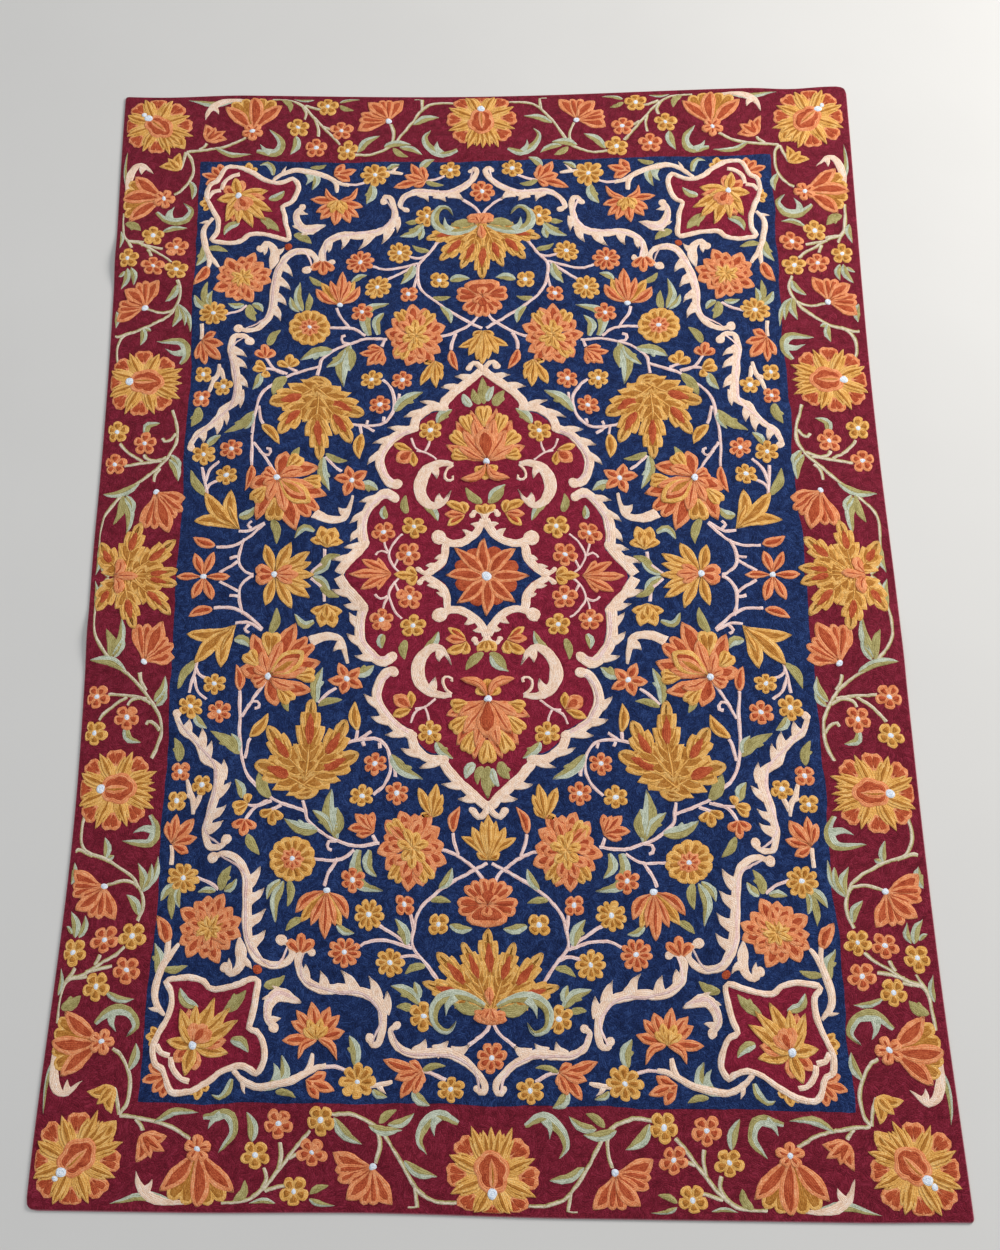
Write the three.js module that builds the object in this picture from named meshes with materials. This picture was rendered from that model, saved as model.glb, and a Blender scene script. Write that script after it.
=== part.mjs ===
// A chain-stitched wool rug of one cloth, lying face up on a level floor.
// Millimetres, +Z up. X runs across the rug, Y along it, and the underside lies at z = 0.
// The cloth is one thin sheet with a slightly uneven outline and a few low, soft ripples left by folding.
import * as THREE from "three";
import { mergeVertices } from "three/addons/utils/BufferGeometryUtils.js";

// The whole rug.
const WIDTH = 1220;
const LENGTH = 1834;
const THICKNESS = 4;
const YARN_COLOUR = "#7a1f3a";
const YARN_ROUGHNESS = 0.9;

// About how far apart the sheet's points are.
const POINT_SPACING = 30;

// How far each edge bows inwards: the middle of the bow along the edge, its half length and its depth.
const EDGE_BOWS = [
  { edge: "left", at: 190, reach: 840, depth: 14 },
  { edge: "left", at: -430, reach: 530, depth: 17 },
  { edge: "right", at: 260, reach: 830, depth: 14 },
  { edge: "right", at: -490, reach: 570, depth: 11 },
  { edge: "top", at: -20, reach: 560, depth: 12 },
  { edge: "top", at: -540, reach: 140, depth: 5 },
  { edge: "top", at: 515, reach: 70, depth: 4 },
  { edge: "bottom", at: -160, reach: 260, depth: 3 },
  { edge: "bottom", at: 610, reach: 150, depth: 2 },
];

// The corners, named by the side of X and of Y that each lies on: the radius that each is rounded to, and how far
// it lies from the plain rectangle's corner on the handmade rug.
const CORNERS = [
  { sideX: -1, sideY: 1, radius: 7, shiftX: -3.5, shiftY: -2 },
  { sideX: 1, sideY: 1, radius: 16, shiftX: -4.5, shiftY: 2.5 },
  { sideX: -1, sideY: -1, radius: 14, shiftX: 4, shiftY: 14 },
  { sideX: 1, sideY: -1, radius: 6, shiftX: 4, shiftY: -14.5 },
];

// How far the rug's middle line lies from the middle of its two sides.
const MIDDLE_DRIFT = -5.5;

// The soft ripples: the crest's points in order, the ripple's half width and the height of its crest.
const RIPPLES = [
  { crest: [[-590, 575], [-470, 530], [-395, 395], [-350, 300], [-318, 205]], reach: 62, height: 6 },
  { crest: [[-375, 215], [-305, 112], [-250, 50], [-170, -25]], reach: 64, height: 6 },
  { crest: [[-592, -95], [-480, -190], [-398, -290]], reach: 52, height: 4.5 },
  { crest: [[-390, -330], [-362, -430], [-342, -560], [-325, -660], [-285, -740]], reach: 60, height: 6 },
  { crest: [[-285, -740], [-205, -800], [-100, -858]], reach: 56, height: 5 },
  { crest: [[-335, -345], [-205, -378]], reach: 45, height: 3 },
  { crest: [[-300, 492], [-145, 450]], reach: 46, height: 3 },
  { crest: [[357, 430], [354, 215]], reach: 46, height: 3 },
  { crest: [[515, 170], [508, 30], [572, -125]], reach: 66, height: 4 },
  { crest: [[342, -345], [330, -560], [326, -710]], reach: 52, height: 5 },
  { crest: [[100, -452], [290, -492]], reach: 44, height: 2.5 },
];

// 1 at the middle of a bow or a ripple, 0 at its reach and beyond, with a smooth fall between.
function softBump(distance, reach) {
  const share = Math.abs(distance) / reach;
  return share < 1 ? Math.cos((share * Math.PI) / 2) ** 2 : 0;
}

// How far the named edge lies inside the plain rectangle, at a place along that edge.
function edgeInset(edge, along) {
  return EDGE_BOWS.filter((bow) => bow.edge === edge).reduce(
    (inset, bow) => inset + bow.depth * softBump(along - bow.at, bow.reach),
    0,
  );
}

// Where a point of the plain rectangle lies once the edges bow in and the corners are rounded.
function outlined(x, y) {
  const corner = CORNERS.find((c) => c.sideX * x > 0 && c.sideY * y > 0);
  let [placedX, placedY] = [x, y];
  if (corner) {
    const startX = WIDTH / 2 - corner.radius;
    const startY = LENGTH / 2 - corner.radius;
    const a = Math.max(0, (Math.abs(x) - startX) / corner.radius);
    const b = Math.max(0, (Math.abs(y) - startY) / corner.radius);
    placedX -= Math.sign(x) * corner.radius * a * (1 - Math.sqrt(1 - (b * b) / 2));
    placedY -= Math.sign(y) * corner.radius * b * (1 - Math.sqrt(1 - (a * a) / 2));
  }
  const shareX = x / (WIDTH / 2);
  const shareY = y / (LENGTH / 2);
  const pullX = edgeInset(x < 0 ? "left" : "right", y) * shareX ** 2;
  const pullY = edgeInset(y < 0 ? "bottom" : "top", x) * shareY ** 2;
  return [placedX - Math.sign(x) * pullX, placedY - Math.sign(y) * pullY];
}

// Where such a point lies on the handmade rug, whose corners and middle line are a little off.
function skewed(x, y) {
  const shareX = x / (WIDTH / 2);
  const shareY = y / (LENGTH / 2);
  let shiftX = MIDDLE_DRIFT * (1 - shareX ** 2);
  let shiftY = 0;
  for (const corner of CORNERS) {
    const weight = ((1 + corner.sideX * shareX) / 2) * ((1 + corner.sideY * shareY) / 2);
    shiftX += weight * corner.shiftX;
    shiftY += weight * corner.shiftY;
  }
  return [x + shiftX, y + shiftY];
}

// The distance from a place to the nearest point of a crest.
function distanceToCrest(x, y, crest) {
  const place = new THREE.Vector3(x, y, 0);
  const nearest = new THREE.Vector3();
  const distances = crest.slice(1).map((end, index) => {
    const stretch = new THREE.Line3(
      new THREE.Vector3(...crest[index], 0),
      new THREE.Vector3(...end, 0),
    );
    stretch.closestPointToPoint(place, true, nearest);
    return nearest.distanceTo(place);
  });
  return Math.min(...distances);
}

// How high the cloth is lifted off the floor at a place.
function rippleLift(x, y) {
  return RIPPLES.reduce(
    (lift, ripple) =>
      Math.max(lift, ripple.height * softBump(distanceToCrest(x, y, ripple.crest), ripple.reach)),
    0,
  );
}

// The cloth: a flat sheet of small cells, drawn in to its outline and lifted along its ripples.
function rugGeometry() {
  const sheet = new THREE.BoxGeometry(
    WIDTH,
    LENGTH,
    THICKNESS,
    Math.round(WIDTH / POINT_SPACING),
    Math.round(LENGTH / POINT_SPACING),
    1,
  );
  sheet.deleteAttribute("normal");
  sheet.deleteAttribute("uv");
  const cloth = mergeVertices(sheet);
  const points = cloth.getAttribute("position");
  for (let index = 0; index < points.count; index += 1) {
    const [x, y] = outlined(points.getX(index), points.getY(index));
    const z = points.getZ(index) + THICKNESS / 2 + rippleLift(x, y);
    points.setXYZ(index, ...skewed(x, y), z);
  }
  cloth.computeBoundingBox();
  const middle = cloth.boundingBox.getCenter(new THREE.Vector3());
  cloth.translate(-middle.x, -middle.y, 0);
  cloth.computeVertexNormals();
  return cloth;
}

const rugCloth = new THREE.Mesh(
  rugGeometry(),
  new THREE.MeshStandardMaterial({ color: YARN_COLOUR, roughness: YARN_ROUGHNESS, metalness: 0 }),
);
rugCloth.name = "rug_cloth";

const rug = new THREE.Group();
rug.add(rugCloth);

export default rug;
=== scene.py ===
"""A Kashmiri rug of wool chain stitch: the cloth, its stitched pattern and a plain studio."""

import logging
import math
from dataclasses import dataclass, field, replace
from enum import Enum
from functools import partial
from typing import Callable, ClassVar, Protocol, Sequence

import bmesh
import bpy
import numpy as np
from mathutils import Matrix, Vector

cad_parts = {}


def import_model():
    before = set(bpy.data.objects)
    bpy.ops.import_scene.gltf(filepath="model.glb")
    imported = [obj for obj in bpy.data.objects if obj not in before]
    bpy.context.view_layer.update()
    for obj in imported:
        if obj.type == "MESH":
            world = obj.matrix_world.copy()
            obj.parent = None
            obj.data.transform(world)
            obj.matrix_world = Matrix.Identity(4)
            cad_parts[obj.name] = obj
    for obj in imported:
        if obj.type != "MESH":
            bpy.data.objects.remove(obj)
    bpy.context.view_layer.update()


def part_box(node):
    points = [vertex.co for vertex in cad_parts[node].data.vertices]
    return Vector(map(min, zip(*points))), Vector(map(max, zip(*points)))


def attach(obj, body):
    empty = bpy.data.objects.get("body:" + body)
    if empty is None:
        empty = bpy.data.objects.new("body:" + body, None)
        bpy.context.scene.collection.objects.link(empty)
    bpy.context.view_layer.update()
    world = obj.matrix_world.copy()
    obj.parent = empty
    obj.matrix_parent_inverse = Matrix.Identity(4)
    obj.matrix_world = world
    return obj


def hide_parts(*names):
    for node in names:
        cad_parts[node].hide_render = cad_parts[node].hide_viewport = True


LOG = logging.getLogger("rug")
MM = 0.001
Spot = tuple[float, float]
Place = tuple[float, float, float]
Shape = Callable[[np.ndarray], np.ndarray]


def shade(red: int, green: int, blue: int) -> tuple[float, float, float, float]:
    """Turns a colour as it looks on a screen, 0 to 255, into the linear colour that a material takes.

    Args:
        red, green, blue: the three parts of the colour.

    Returns:
        The linear colour with full alpha.
    """
    parts = np.array([red, green, blue]) / 255
    linear = np.where(parts > 0.04045, ((parts + 0.055) / 1.055) ** 2.4, parts / 12.92)
    return (float(linear[0]), float(linear[1]), float(linear[2]), 1.0)


@dataclass(frozen=True)
class WoolFinish:
    """One dyed wool yarn: its colour, the shades it strays to and the relief of its rows.

    Attributes:
        colour: the yarn's middle shade.
        deep: the darker shade that some links stray to; it is also painted as shade into the low furrows
            between rows.
        pale: the lighter shade of some links.
        mottle: how far slow patches of dye stray, from 0 to 1.
        patched: whether the rows run in small patches of their own direction, as on a plain ground.
        row: the width of one row of stitches, in millimetres.
    """

    colour: tuple[int, int, int]
    deep: tuple[int, int, int]
    pale: tuple[int, int, int]
    mottle: float = 0.5
    patched: bool = False
    row: float = 2.7


class Yarn(Enum):
    """The dyed yarns that the rug is stitched with."""

    MAROON = WoolFinish((118, 26, 44), (84, 12, 28), (146, 44, 66), 0.45, True)
    NAVY = WoolFinish((24, 43, 88), (8, 20, 52), (50, 74, 126), 0.45, True)
    CLARET = WoolFinish((132, 28, 50), (96, 14, 34), (160, 46, 72), 0.45, True)
    ORANGE = WoolFinish((234, 148, 98), (202, 106, 62), (250, 182, 134))
    RUST = WoolFinish((184, 82, 48), (144, 52, 28), (212, 114, 72))
    GOLD = WoolFinish((236, 178, 96), (196, 136, 58), (250, 208, 138))
    OCHRE = WoolFinish((186, 122, 50), (148, 88, 30), (210, 152, 80))
    PEACH = WoolFinish((250, 218, 192), (224, 184, 154), (252, 238, 226))
    ROSE = WoolFinish((244, 210, 200), (214, 172, 162), (248, 230, 226))
    CREAM = WoolFinish((216, 203, 176), (178, 162, 130), (234, 224, 202))
    SAGE = WoolFinish((194, 200, 178), (152, 160, 136), (216, 222, 204))
    OLIVE = WoolFinish((172, 160, 102), (132, 118, 66), (196, 186, 130))
    WHITE = WoolFinish((240, 246, 252), (186, 200, 220), (252, 253, 255), 0.2)


class Tone(Enum):
    """The two yarns of a petal: its outline and its filling."""

    WARM = (Yarn.ORANGE, Yarn.RUST)
    GOLDEN = (Yarn.GOLD, Yarn.OCHRE)
    FLAME = (Yarn.GOLD, Yarn.RUST)
    GLOW = (Yarn.ORANGE, Yarn.OCHRE)
    EMBER = (Yarn.RUST, Yarn.RUST)


class Mirror(Enum):
    """Where a piece of the pattern is repeated: the signs of X and Y of each copy."""

    QUARTERS = ((1, 1), (-1, 1), (1, -1), (-1, -1))
    ENDS = ((1, 1), (1, -1))
    SIDES = ((1, 1), (-1, 1))
    ONCE = ((1, 1),)


def soft_bump(distance: np.ndarray, reach: float) -> np.ndarray:
    """Gives 1 at distance 0, 0 at the reach and beyond, with a smooth fall between."""
    part = np.minimum(np.abs(distance) / reach, 1.0)
    return np.cos(part * math.pi / 2) ** 2


@dataclass(frozen=True)
class Bow:
    """One bow of an edge: its middle along the edge, its half length and its depth, in millimetres."""

    at: float
    reach: float
    depth: float


@dataclass(frozen=True)
class Corner:
    """One corner of the cloth: the side of X and Y it lies on, its rounding and how far off it lies."""

    side_x: int
    side_y: int
    radius: float
    shift_x: float
    shift_y: float


@dataclass(frozen=True)
class Ripple:
    """One soft ripple: its crest's points, its half width and the height of its crest."""

    crest: tuple[Spot, ...]
    reach: float
    height: float


@dataclass
class ClothForm:
    """The lie of the handmade cloth, which every stitch follows.

    Plan places are in millimetres on a plain rectangle, X across the rug and Y along it.
    """

    width: float = 1220.0
    length: float = 1834.0
    thickness: float = 4.0
    pile: float = 0.8
    middle_drift: float = -5.5
    left: tuple[Bow, ...] = (Bow(190, 840, 14), Bow(-430, 530, 17))
    right: tuple[Bow, ...] = (Bow(260, 830, 14), Bow(-490, 570, 11))
    top: tuple[Bow, ...] = (Bow(-20, 560, 12), Bow(-540, 140, 5), Bow(515, 70, 4))
    bottom: tuple[Bow, ...] = (Bow(-160, 260, 3), Bow(610, 150, 2))
    corners: tuple[Corner, ...] = (
        Corner(-1, 1, 7, -3.5, -2),
        Corner(1, 1, 16, -4.5, 2.5),
        Corner(-1, -1, 14, 4, 14),
        Corner(1, -1, 6, 4, -14.5),
    )
    ripples: tuple[Ripple, ...] = (
        Ripple(((-590, 575), (-470, 530), (-395, 395), (-350, 300), (-318, 205)), 62, 6),
        Ripple(((-375, 215), (-305, 112), (-250, 50), (-170, -25)), 64, 6),
        Ripple(((-592, -95), (-480, -190), (-398, -290)), 52, 4.5),
        Ripple(((-390, -330), (-362, -430), (-342, -560), (-325, -660), (-285, -740)), 60, 6),
        Ripple(((-285, -740), (-205, -800), (-100, -858)), 56, 5),
        Ripple(((-335, -345), (-205, -378)), 45, 3),
        Ripple(((-300, 492), (-145, 450)), 46, 3),
        Ripple(((357, 430), (354, 215)), 46, 3),
        Ripple(((515, 170), (508, 30), (572, -125)), 66, 4),
        Ripple(((342, -345), (330, -560), (326, -710)), 52, 5),
        Ripple(((100, -452), (290, -492)), 44, 2.5),
    )
    middle: Vector = field(default_factory=lambda: Vector((0.0, 0.0)))

    @property
    def map_size(self) -> float:
        """The side of the square plan map, in millimetres."""
        return self.length * 1.04

    def centre(self, low: Vector, high: Vector) -> None:
        """Sets how far the whole cloth is moved so that its outline lies around the frame's middle.

        Args:
            low: the lowest corner of the cloth's solid, in metres.
            high: its highest corner.
        """
        along = np.linspace(-1, 1, 241)
        edge_x = np.concatenate([along, along, -np.ones(241), np.ones(241)]) * self.width / 2
        edge_y = np.concatenate([-np.ones(241), np.ones(241), along, along]) * self.length / 2
        x, y = self.skewed(*self.outlined(edge_x, edge_y))
        frame_middle = (Vector(low) + Vector(high)) / 2 / MM
        self.middle = Vector(((x.min() + x.max()) / 2, (y.min() + y.max()) / 2)) - frame_middle.to_2d()

    def inset(self, bows: Sequence[Bow], along: np.ndarray) -> np.ndarray:
        """Adds up how far an edge lies inside the plain rectangle, at places along it."""
        return sum((bow.depth * soft_bump(along - bow.at, bow.reach) for bow in bows), np.zeros_like(along))

    def outlined(self, x: np.ndarray, y: np.ndarray) -> tuple[np.ndarray, np.ndarray]:
        """Bows the edges in and rounds the corners.

        Args:
            x, y: places on the plain rectangle, in millimetres.

        Returns:
            The same places on the bowed outline.
        """
        pull_x = np.where(x < 0, self.inset(self.left, y), self.inset(self.right, y))
        pull_y = np.where(y < 0, self.inset(self.bottom, x), self.inset(self.top, x))
        new_x = x - np.sign(x) * pull_x * (2 * x / self.width) ** 2
        new_y = y - np.sign(y) * pull_y * (2 * y / self.length) ** 2
        for corner in self.corners:
            across = np.clip((x * corner.side_x - self.width / 2) / corner.radius + 1, 0, 1)
            along = np.clip((y * corner.side_y - self.length / 2) / corner.radius + 1, 0, 1)
            new_x = new_x - corner.side_x * corner.radius * across * (1 - np.sqrt(1 - along ** 2 / 2))
            new_y = new_y - corner.side_y * corner.radius * along * (1 - np.sqrt(1 - across ** 2 / 2))
        return new_x, new_y

    def skewed(self, x: np.ndarray, y: np.ndarray) -> tuple[np.ndarray, np.ndarray]:
        """Moves outlined places to the handmade rug's corners and middle line, which are a little off.

        Args:
            x, y: the outlined places, in millimetres.

        Returns:
            The same places on the real rug.
        """
        share_x = 2 * x / self.width
        share_y = 2 * y / self.length
        new_x = x + self.middle_drift * (1 - share_x ** 2)
        new_y = y
        for corner in self.corners:
            weight = (1 + corner.side_x * share_x) * (1 + corner.side_y * share_y) / 4
            new_x = new_x + weight * corner.shift_x
            new_y = new_y + weight * corner.shift_y
        return new_x, new_y

    def straighten(self, spots: np.ndarray) -> np.ndarray:
        """Takes the bow of the edges out of places read on the real rug.

        Args:
            spots: complex plan places, X plus Y times i.

        Returns:
            The places on the plain rectangle.
        """
        x, y = self.outlined(spots.real, spots.imag)
        return 2 * spots - (x + 1j * y)

    def lift(self, x: np.ndarray, y: np.ndarray) -> np.ndarray:
        """Gives how high the ripples lift the cloth off the floor, in millimetres.

        Args:
            x, y: the outlined places, in millimetres.

        Returns:
            The height at each place.
        """
        total = np.zeros_like(x)
        place = x + 1j * y
        for ripple in self.ripples:
            nearest = np.full_like(x, np.inf)
            for start, end in zip(ripple.crest, ripple.crest[1:]):
                first = complex(*start)
                stretch = complex(*end) - first
                share = np.clip(((place - first) * stretch.conjugate()).real / abs(stretch) ** 2, 0, 1)
                nearest = np.minimum(nearest, np.abs(place - first - share * stretch))
            total = total + (ripple.height * soft_bump(nearest, ripple.reach)) ** 4
        return total ** 0.25

    def within(self, spots: np.ndarray, start: float = 22.0, least: float = 3.5) -> np.ndarray:
        """Draws places that come near the edge in, so that no stitch leaves the cloth.

        Args:
            spots: complex places on the plain rectangle.
            start: how far from the edge the drawing in starts, in millimetres.
            least: how near the edge a stitch may come.

        Returns:
            The places, all on the cloth.
        """
        parts = []
        for value, half in ((spots.real, self.width / 2), (spots.imag, self.length / 2)):
            free = half - start
            over = np.maximum(np.abs(value) - free, 0)
            room = start - least
            parts.append(np.sign(value) * (np.minimum(np.abs(value), free) + room * np.tanh(over / room)))
        return parts[0] + 1j * parts[1]

    def place(self, x: np.ndarray, y: np.ndarray, above: np.ndarray) -> np.ndarray:
        """Lays places of the plain rectangle on the real cloth.

        Args:
            x, y: the places, in millimetres.
            above: how high each lies above the ground's stitches, in millimetres.

        Returns:
            An array of points in metres, one row each.
        """
        bowed_x, bowed_y = self.outlined(x, y)
        z = self.thickness - self.pile + self.lift(bowed_x, bowed_y) + above
        real_x, real_y = self.skewed(bowed_x, bowed_y)
        return np.stack([real_x - self.middle.x, real_y - self.middle.y, z], axis=-1) * MM


def lance(share: np.ndarray) -> np.ndarray:
    """A pointed leaf or petal, widest a little before its middle."""
    return np.sin(math.pi * share ** 0.8) ** 0.85


def flame(share: np.ndarray) -> np.ndarray:
    """A broad pointed petal, widest past its middle."""
    return np.sin(math.pi * share ** 1.3) ** 0.9


def teardrop(share: np.ndarray) -> np.ndarray:
    """A round-ended petal that narrows to its base."""
    tip = np.sqrt(np.maximum(1 - (np.maximum(share - 0.66, 0) / 0.34) ** 2, 0))
    return np.minimum(0.28 + 0.72 * np.sin(np.minimum(share / 0.66, 1) * math.pi / 2) ** 1.3, 1) * tip


def strap(share: np.ndarray) -> np.ndarray:
    """A vine of even width."""
    return np.ones_like(share)


def horn(share: np.ndarray) -> np.ndarray:
    """A tooth or horn: broad at its base and pointed at its tip."""
    return 1 - share ** 1.3


def horn_back(share: np.ndarray) -> np.ndarray:
    """A curling horn: broad at its start and thin before its knob."""
    return 1 - 0.72 * share ** 1.2


def belly(share: np.ndarray) -> np.ndarray:
    """A half leaf: pointed where it starts, full before its middle and thin before its knob."""
    return np.minimum(share / 0.3, 1) ** 0.7 * (1 - 0.62 * np.clip((share - 0.3) / 0.7, 0, 1))


def swelling(share: np.ndarray) -> np.ndarray:
    """A scroll's body: thin at both ends and full between."""
    return 0.55 + 0.45 * np.sin(math.pi * np.clip(share, 0, 1)) ** 0.8


def swelling_point(share: np.ndarray) -> np.ndarray:
    """A curling leaf: it starts narrow, fills out and ends in a long point."""
    return np.minimum(0.35 + 1.6 * share, 1) * (1 - share ** 2.2) ** 0.8


def serrated(teeth: int, depth: float = 0.3) -> Shape:
    """Makes the outline of a leaf with saw teeth that point to its tip.

    Args:
        teeth: how many teeth each side has.
        depth: how deep the notches are, as a share of the half width.

    Returns:
        The outline as a function of the share of the length.
    """

    def outline(share: np.ndarray) -> np.ndarray:
        """The half width, 1 at the widest place."""
        saw = (share * teeth) % 1.0
        return np.sin(math.pi * share ** 0.72) ** 0.75 * (1 - depth + depth * saw ** 0.7)

    return outline


class Path:
    """A smooth line through a few plan places."""

    def __init__(self, spots: Sequence[complex], closed: bool = False) -> None:
        """Runs a smooth curve through the places.

        Args:
            spots: the places, in order.
            closed: whether the line comes back to its start.
        """
        knots = np.array(spots, dtype=complex)
        if closed:
            knots = np.concatenate([knots[-1:], knots, knots[:2]])
        else:
            knots = np.concatenate([[2 * knots[0] - knots[1]], knots, [2 * knots[-1] - knots[-2]]])
        t = np.linspace(0, 1, 13)[:-1]
        parts = []
        for a, b, c, d in zip(knots, knots[1:], knots[2:], knots[3:]):
            parts.append(b + 0.5 * t * (c - a + t * (2 * a - 5 * b + 4 * c - d + t * (3 * (b - c) + d - a))))
        self.line = np.concatenate([*parts, [knots[-2]]])
        self.reach = np.concatenate([[0.0], np.cumsum(np.abs(np.diff(self.line)))])
        self.length = float(self.reach[-1])

    @classmethod
    def over(cls, spots: Sequence[Spot], closed: bool = False) -> "Path":
        """Runs a line over places given by X and Y."""
        return cls([complex(*spot) for spot in spots], closed)

    def at(self, share: np.ndarray) -> np.ndarray:
        """Gives the places at the given shares of the length."""
        want = np.clip(share, 0, 1) * self.length
        return np.interp(want, self.reach, self.line.real) + 1j * np.interp(want, self.reach, self.line.imag)

    def spot(self, share: float) -> complex:
        """Gives the place at one share of the length."""
        return self.at(np.array(share)).item()

    def nearest(self, place: complex) -> float:
        """Gives the share of the length at which the line comes nearest to a place."""
        return float(self.reach[np.abs(self.line - place).argmin()] / self.length)

    def part(self, first: float, last: float) -> "Path":
        """Gives the part of the line between two shares of its length."""
        return Path(self.at(np.linspace(first, last, 6)))

    def heading(self, share: np.ndarray) -> np.ndarray:
        """Gives the unit directions of the line at the given shares of the length.

        Args:
            share: the shares of the length, from 0 to 1.

        Returns:
            The directions as complex numbers.
        """
        step = 0.01
        ahead = self.at(share + step) - self.at(share - step)
        return ahead / np.maximum(np.abs(ahead), 1e-9)

    def way(self, share: float) -> complex:
        """Gives the unit direction of the line at one share of the length."""
        return self.heading(np.array(share)).item()

    def turning(self, share: np.ndarray) -> np.ndarray:
        """Gives how fast the line turns to the left, in radians a millimetre.

        Args:
            share: the shares of the length, from 0 to 1.

        Returns:
            The turn at each share.
        """
        step = max(0.02, 2.5 / self.length)
        before = self.heading(np.clip(share - step, 0, 1))
        after = self.heading(np.clip(share + step, 0, 1))
        return np.angle(after / before) / (2 * step * self.length)


def bowed(base: complex, tip: complex, bend: float = 0.0) -> Path:
    """Makes a line from a base to a tip that bends to its left.

    Args:
        base: where it starts.
        tip: where it ends.
        bend: how far its middle strays to the left, as a share of its length.

    Returns:
        The line.
    """
    middle = (base + tip) / 2 + 1j * (tip - base) * bend
    if bend == 0:
        return Path([base, tip])
    return Path([base, (base + 2 * middle + tip) / 4 + (middle - (base + tip) / 2) / 2, tip])


@dataclass
class Patch:
    """One stitched shape: a grid of places with their height and their rows of stitches."""

    yarn: Yarn
    spots: np.ndarray
    above: np.ndarray
    rows: np.ndarray
    mirror: Mirror


class Motif(Protocol):
    """Anything that a needle can stitch."""

    def stitch(self, needle: "Needle") -> None:
        """Stitches it."""


class Side(Enum):
    """Which part of a long shape's width is stitched."""

    BOTH = 0
    LEFT = 1
    RIGHT = -1


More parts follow.
